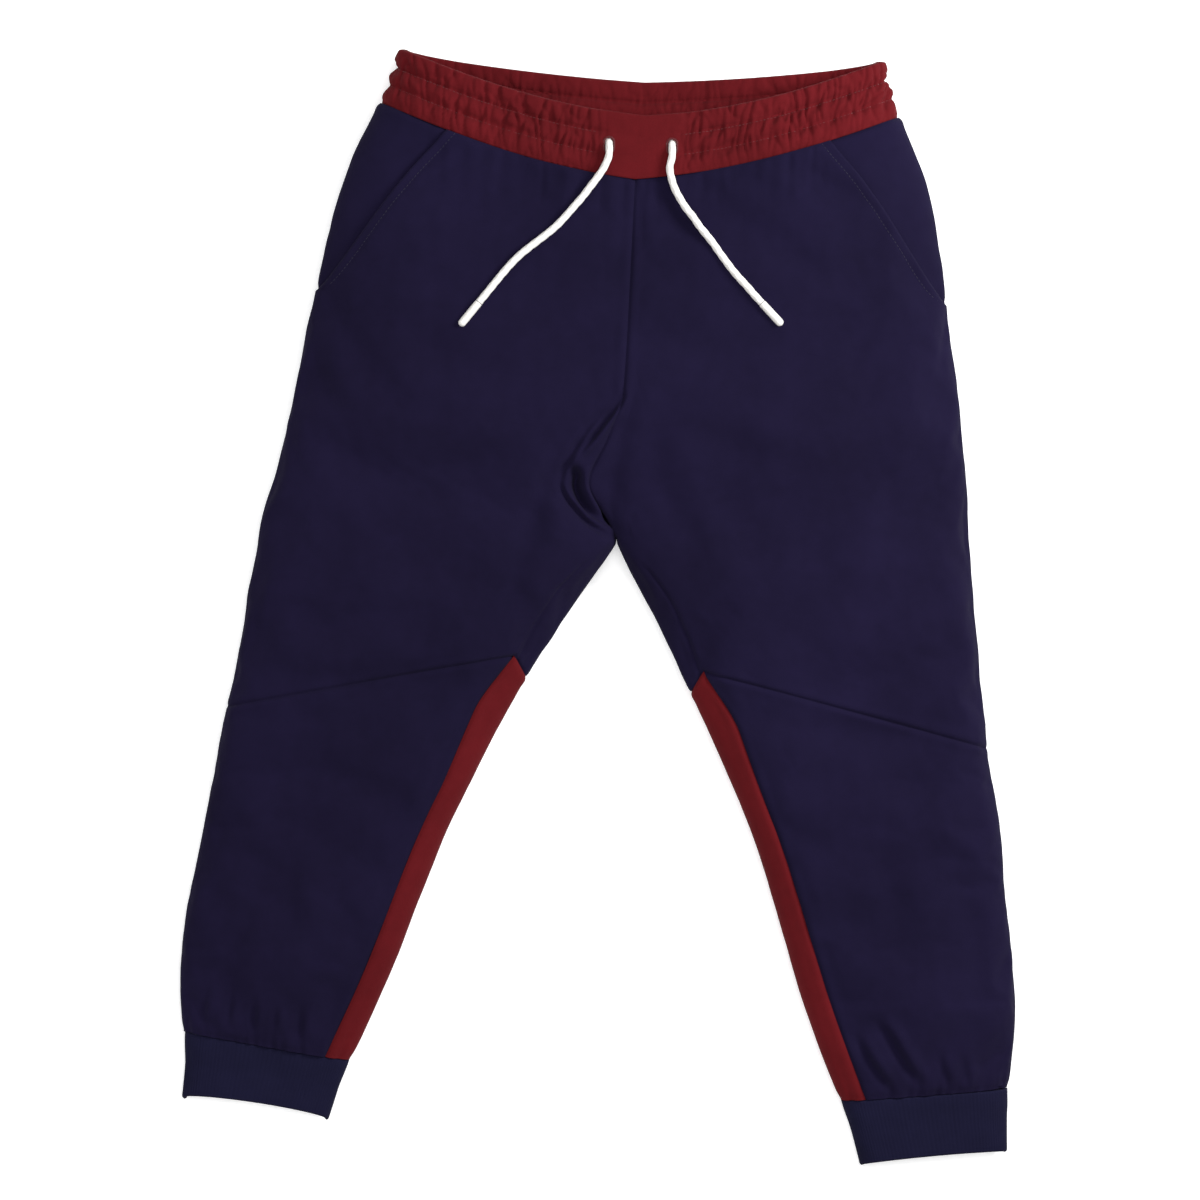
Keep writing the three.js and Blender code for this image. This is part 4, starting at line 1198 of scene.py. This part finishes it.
def cuff(name, leg):
    """Rib knit folded double at the hem: one closed band, ribbed outside and in."""
    turn = np.arange(CUFF_COLUMNS) / CUFF_COLUMNS
    across = np.where(turn < 0.5, 2 * turn, 2 - 2 * turn)
    heights = np.linspace(0, CUFF_TURN, CUFF_ROWS)
    rows = [(v, 0.0, 1.0) for v in heights]
    for angle in np.linspace(0, math.pi, 9)[1:-1]:
        depth = CUFF_WALL / 2 * (1 - math.cos(angle))
        rows.append((lerp(CUFF_TURN, 1, math.sin(angle)), depth, math.cos(angle)))
    rows += [(v, CUFF_WALL, -1.0) for v in heights[::-1]]
    v, depth, outwards = (np.array(rows)[:, k][:, None] for k in range(3))
    place = turn * (CUFF_TOP_WIDTH + CUFF_HEM_WIDTH) * CUFF_STRETCH
    ribs = np.abs(np.sin(math.pi * place / RIB_PITCH)) ** 0.7
    waver = RIB_WAVER * middling(place / 0.022, v * 1.2 + (3 if name == "left" else 9))
    ease = -CUFF_EASE * (1 - smoothstep(v, 0.05, 0.5))
    shape = depth + (RIB_DEPTH * (1 - ribs) + waver * smoothstep(v, 0.0, 0.3) + ease) * outwards
    parts = []
    for face, chosen in ((1, turn < 0.5), (-1, turn >= 0.5)):
        parts.append(leg.cuff(face, across[chosen][None, :], v, shape[:, chosen]))
    points = np.concatenate(parts, axis=1)
    bow = HEM_BOW[name] * np.sin(math.pi * across) ** 0.8
    points[..., 1] += bow * smoothstep(v, 0.3, 1)
    points[..., 2] = np.maximum(points[..., 2], LEAST_HEIGHT)
    flat = points.reshape(-1, 3)
    outward = np.where(outwards[..., None] > 0, 1, -1) * (points - flat.mean(axis=0))
    faces = grid_faces(len(rows), CUFF_COLUMNS, wrap_rows=True, wrap_columns=True)
    faces = facing_out(flat, faces, outward.reshape(-1, 3))
    run = np.arange(1, len(rows) + 1) * CUFF_HEIGHT / CUFF_ROWS
    uv = np.stack(np.meshgrid(place, run), axis=-1)
    obj = build(f"{name}_cuff_rib", flat, faces, uv.reshape(-1, 2))
    wear(obj, rib_cloth, "navy_rib", f"{name}_cuff")
    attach(obj, f"{name}_lower_leg")


# ---- Drawcord ----

CORD_STEP = 0.0007
HIDDEN_CORD_STEP = 0.0016
CORD_SIDES = 32
BRAID_STRANDS = 8
BRAID_PITCH = 0.0090
BRAID_DEPTH = 0.00014
TIP_RADIUS = 0.0035
TIP_LENGTH = 0.026
TIP_STEPS = 60
TIP_ROUND_FROM = 0.87  # where its end starts to round off, as a share of its length


def smooth_path(points, step):
    points = np.array(points, float)
    curve = through([(i, *p) for i, p in enumerate(points)])
    dense = curve(np.linspace(0, len(points) - 1, 40 * len(points)))
    arc = run_along(dense)
    count = round(arc[-1] / step)
    return read_at(np.linspace(0, arc[-1], count + 1), arc, dense)


def tube(name, path, radii, braid_depth, material):
    """A round strand along a path, closed at both ends, its surface raised where the plait crosses."""
    heading = unit(np.gradient(path, axis=0))
    sides, side = [], np.array([0.0, 0.0, 1.0])
    for along in heading:
        side = unit(side - along * (side @ along))
        sides.append(side)
    sides = np.array(sides)
    others = np.cross(heading, sides)
    turn = np.arange(CORD_SIDES) * 2 * math.pi / CORD_SIDES
    twist = 2 * math.pi * run_along(path)[:, None] / BRAID_PITCH
    plait = np.maximum(np.cos(BRAID_STRANDS / 2 * turn + twist), np.cos(BRAID_STRANDS / 2 * turn - twist))
    size = radii[:, None] + braid_depth * (plait - 0.5)
    spokes = np.cos(turn)[:, None] * sides[:, None] + np.sin(turn)[:, None] * others[:, None]
    points = path[:, None] + size[..., None] * spokes
    flat = np.concatenate([points.reshape(-1, 3), path[:1], path[-1:]])
    first_middle = len(flat) - 2
    faces = [facing_out(flat, grid_faces(len(path), CORD_SIDES, wrap_columns=True), spokes.reshape(-1, 3))]
    around = np.arange(0, CORD_SIDES, 2)
    for ring, middle, outwards in ((0, first_middle, path[0] - path[1]),
                                   (first_middle - CORD_SIDES, first_middle + 1, path[-1] - path[-2])):
        cap = np.stack([ring + around, ring + around + 1, ring + (around + 2) % CORD_SIDES,
                        np.full(len(around), middle)], axis=1)
        faces.append(facing_out(flat, cap, np.tile(outwards, (len(flat), 1))))
    obj = build(name, flat, np.concatenate(faces))
    wear(obj, material, "cotton_cord")
    return obj


def rising(name):
    """Points of the cord from the channel up into the buttonhole."""
    hole = HOLES[name]
    out = -1 if name == "right" else 1
    low = hole[2] - CHANNEL_MIDDLE
    offsets = [(out * 0.011, 0.001, 0), (out * 0.005, 0.0022, 0), (out * 0.0014, 0.0026, 0.0012),
               (0, 0.0012, 0.0034), (0, -0.0020, 0.0074)]
    return [(hole[0] + dx, hole[1] + dy, low + dz) for dx, dy, dz in offsets]


def drawcord():
    right, left = LEGS["right"], LEGS["left"]
    steps = np.linspace(0, 1, 13)
    path = rising("right")[:4][::-1]
    for leg, face, across in ((right, 1, steps[10:0:-1]), (right, -1, steps[:12]),
                              (left, -1, steps[::-1]), (left, 1, steps[1:11])):
        path += [tuple(p) for p in leg.body(face, across, ones(across, -0.5), CHANNEL_MIDDLE)]
    path += rising("left")[:4]
    run = smooth_path(path, HIDDEN_CORD_STEP)
    radii = np.full(len(run), CORD_RADIUS)
    obj = tube("drawcord_tunnel_braid", run, radii, BRAID_DEPTH * 0.5, cord_yarn)
    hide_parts("drawcord_tunnel_run")
    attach(obj, "hips")
    for name in LEGS:
        drawcord_end(name)


def drawcord_end(name):
    route = [tuple(v / 1000 for v in point) for point in CORD_ROUTES[name]]
    path = smooth_path(rising(name)[3:] + route, CORD_STEP)
    radii = np.full(len(path), CORD_RADIUS) * (1 + 0.015 * middling(np.arange(len(path)) / 14, 2.5))
    obj = tube(f"drawcord_{name}_braid", path, radii, BRAID_DEPTH, cord_yarn)
    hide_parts(f"drawcord_{name}_end")
    last = np.array(route[-1])
    heading = unit(last - np.array(route[-2]))
    place = np.linspace(0, 1, TIP_STEPS)
    tip_path = last + heading * (SEAM_GAP + place[:, None] * TIP_LENGTH)
    rounding = np.maximum(0, place - TIP_ROUND_FROM) / (1 - TIP_ROUND_FROM)
    tip_radii = TIP_RADIUS * np.sqrt(np.maximum(0.02, 1 - rounding ** 2))
    tip_radii *= 1 - 0.06 * bell(place, 0.05)
    tip = tube(f"drawcord_{name}_tip_wrap", tip_path, tip_radii, BRAID_DEPTH * 0.35, tip_wrap)
    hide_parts(f"drawcord_{name}_tip")
    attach(tip, f"drawcord_{name}")
    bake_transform(obj)


# ---- The stage ----

CENTRE = (0.0013, 0.0053)
VIEW_WIDTH = 1.056
CAMERA_HEIGHT = 3.0
MIDDLE_HEIGHT = 0.028
GROUND_HALF = 6
GROUND_DROP = 0.0003
PAPER_GLOW = 0.42
SKY_LIGHT = 0.30
# Name, place, size in metres and power in watts
LIGHTS = [("key", (1.45, 0.75, 1.05), 0.7, 34), ("top", (0.1, 0.1, 2.6), 1.8, 36),
          ("fill", (-1.9, -0.4, 1.6), 1.6, 9)]


def placed(name, data, place):
    holder = bpy.data.objects.new(name, data)
    holder.location = place
    bpy.context.scene.collection.objects.link(holder)
    return holder


def stage():
    square = np.array([(-1, -1, 0), (1, -1, 0), (1, 1, 0), (-1, 1, 0)]) * GROUND_HALF
    ground = build("ground", square - (0, 0, GROUND_DROP), [(0, 1, 2, 3)], smooth=False)
    paper = Nodes("white_paper", Specular_IOR_Level=0.0, Emission_Color=(1, 1, 1, 1),
                  Emission_Strength=PAPER_GLOW)
    where = paper.node("ShaderNodeTexCoord").outputs["Object"]
    tone = paper.noise(where, 3, 2)
    colour = paper.blend(tone, (0.93, 0.93, 0.93, 1), (0.96, 0.96, 0.96, 1))
    ground.data.materials.append(paper.finish(colour, paper.maths("ADD", tone, 0.4), tone, 0.02, 0.0005))
    world = bpy.data.worlds.new("studio")
    bpy.context.scene.world = world
    world.use_nodes = True
    world.node_tree.nodes["Background"].inputs["Color"].default_value = (1, 1, 1, 1)
    world.node_tree.nodes["Background"].inputs["Strength"].default_value = SKY_LIGHT
    for name, place, size, power in LIGHTS:
        lamp = bpy.data.lights.new(name, "AREA")
        lamp.shape = "DISK"
        lamp.size = size
        lamp.energy = power
        aim = Vector((0, 0, 0)) - Vector(place)
        placed(name, lamp, place).rotation_euler = aim.to_track_quat("-Z", "Y").to_euler()
    camera = bpy.data.cameras.new("camera")
    camera.sensor_width = 36
    camera.lens = camera.sensor_width * (CAMERA_HEIGHT - MIDDLE_HEIGHT) / VIEW_WIDTH
    camera.clip_end = 60
    bpy.context.scene.camera = placed("camera", camera, (*CENTRE, CAMERA_HEIGHT))
    bpy.context.scene.view_settings.view_transform = "Standard"


stage()
for leg_name, leg_shape in LEGS.items():
    SETTLED[leg_name] = Settled(leg_name, leg_shape)
drawcord()
for leg_name, leg_shape in LEGS.items():
    upper_back(leg_name, leg_shape)
    upper_front(leg_name, leg_shape)
    facing(leg_name, leg_shape)
    shin(leg_name, leg_shape, 1)
    shin(leg_name, leg_shape, -1)
    inseam_strip(leg_name, leg_shape)
    cuff(leg_name, leg_shape)
    buttonhole(leg_name)
for band_face in (1, -1):
    waistband(band_face)

INSIDE = {"elastic": elastic_yarn, "bag": lining_cloth, "drawcord": cord_yarn}
for node_name, node in frame["nodes"].items():
    found = [material for key, material in INSIDE.items() if key in node_name]
    node.data.materials.clear()
    node.data.materials.append(found[0] if found else inner_navy)
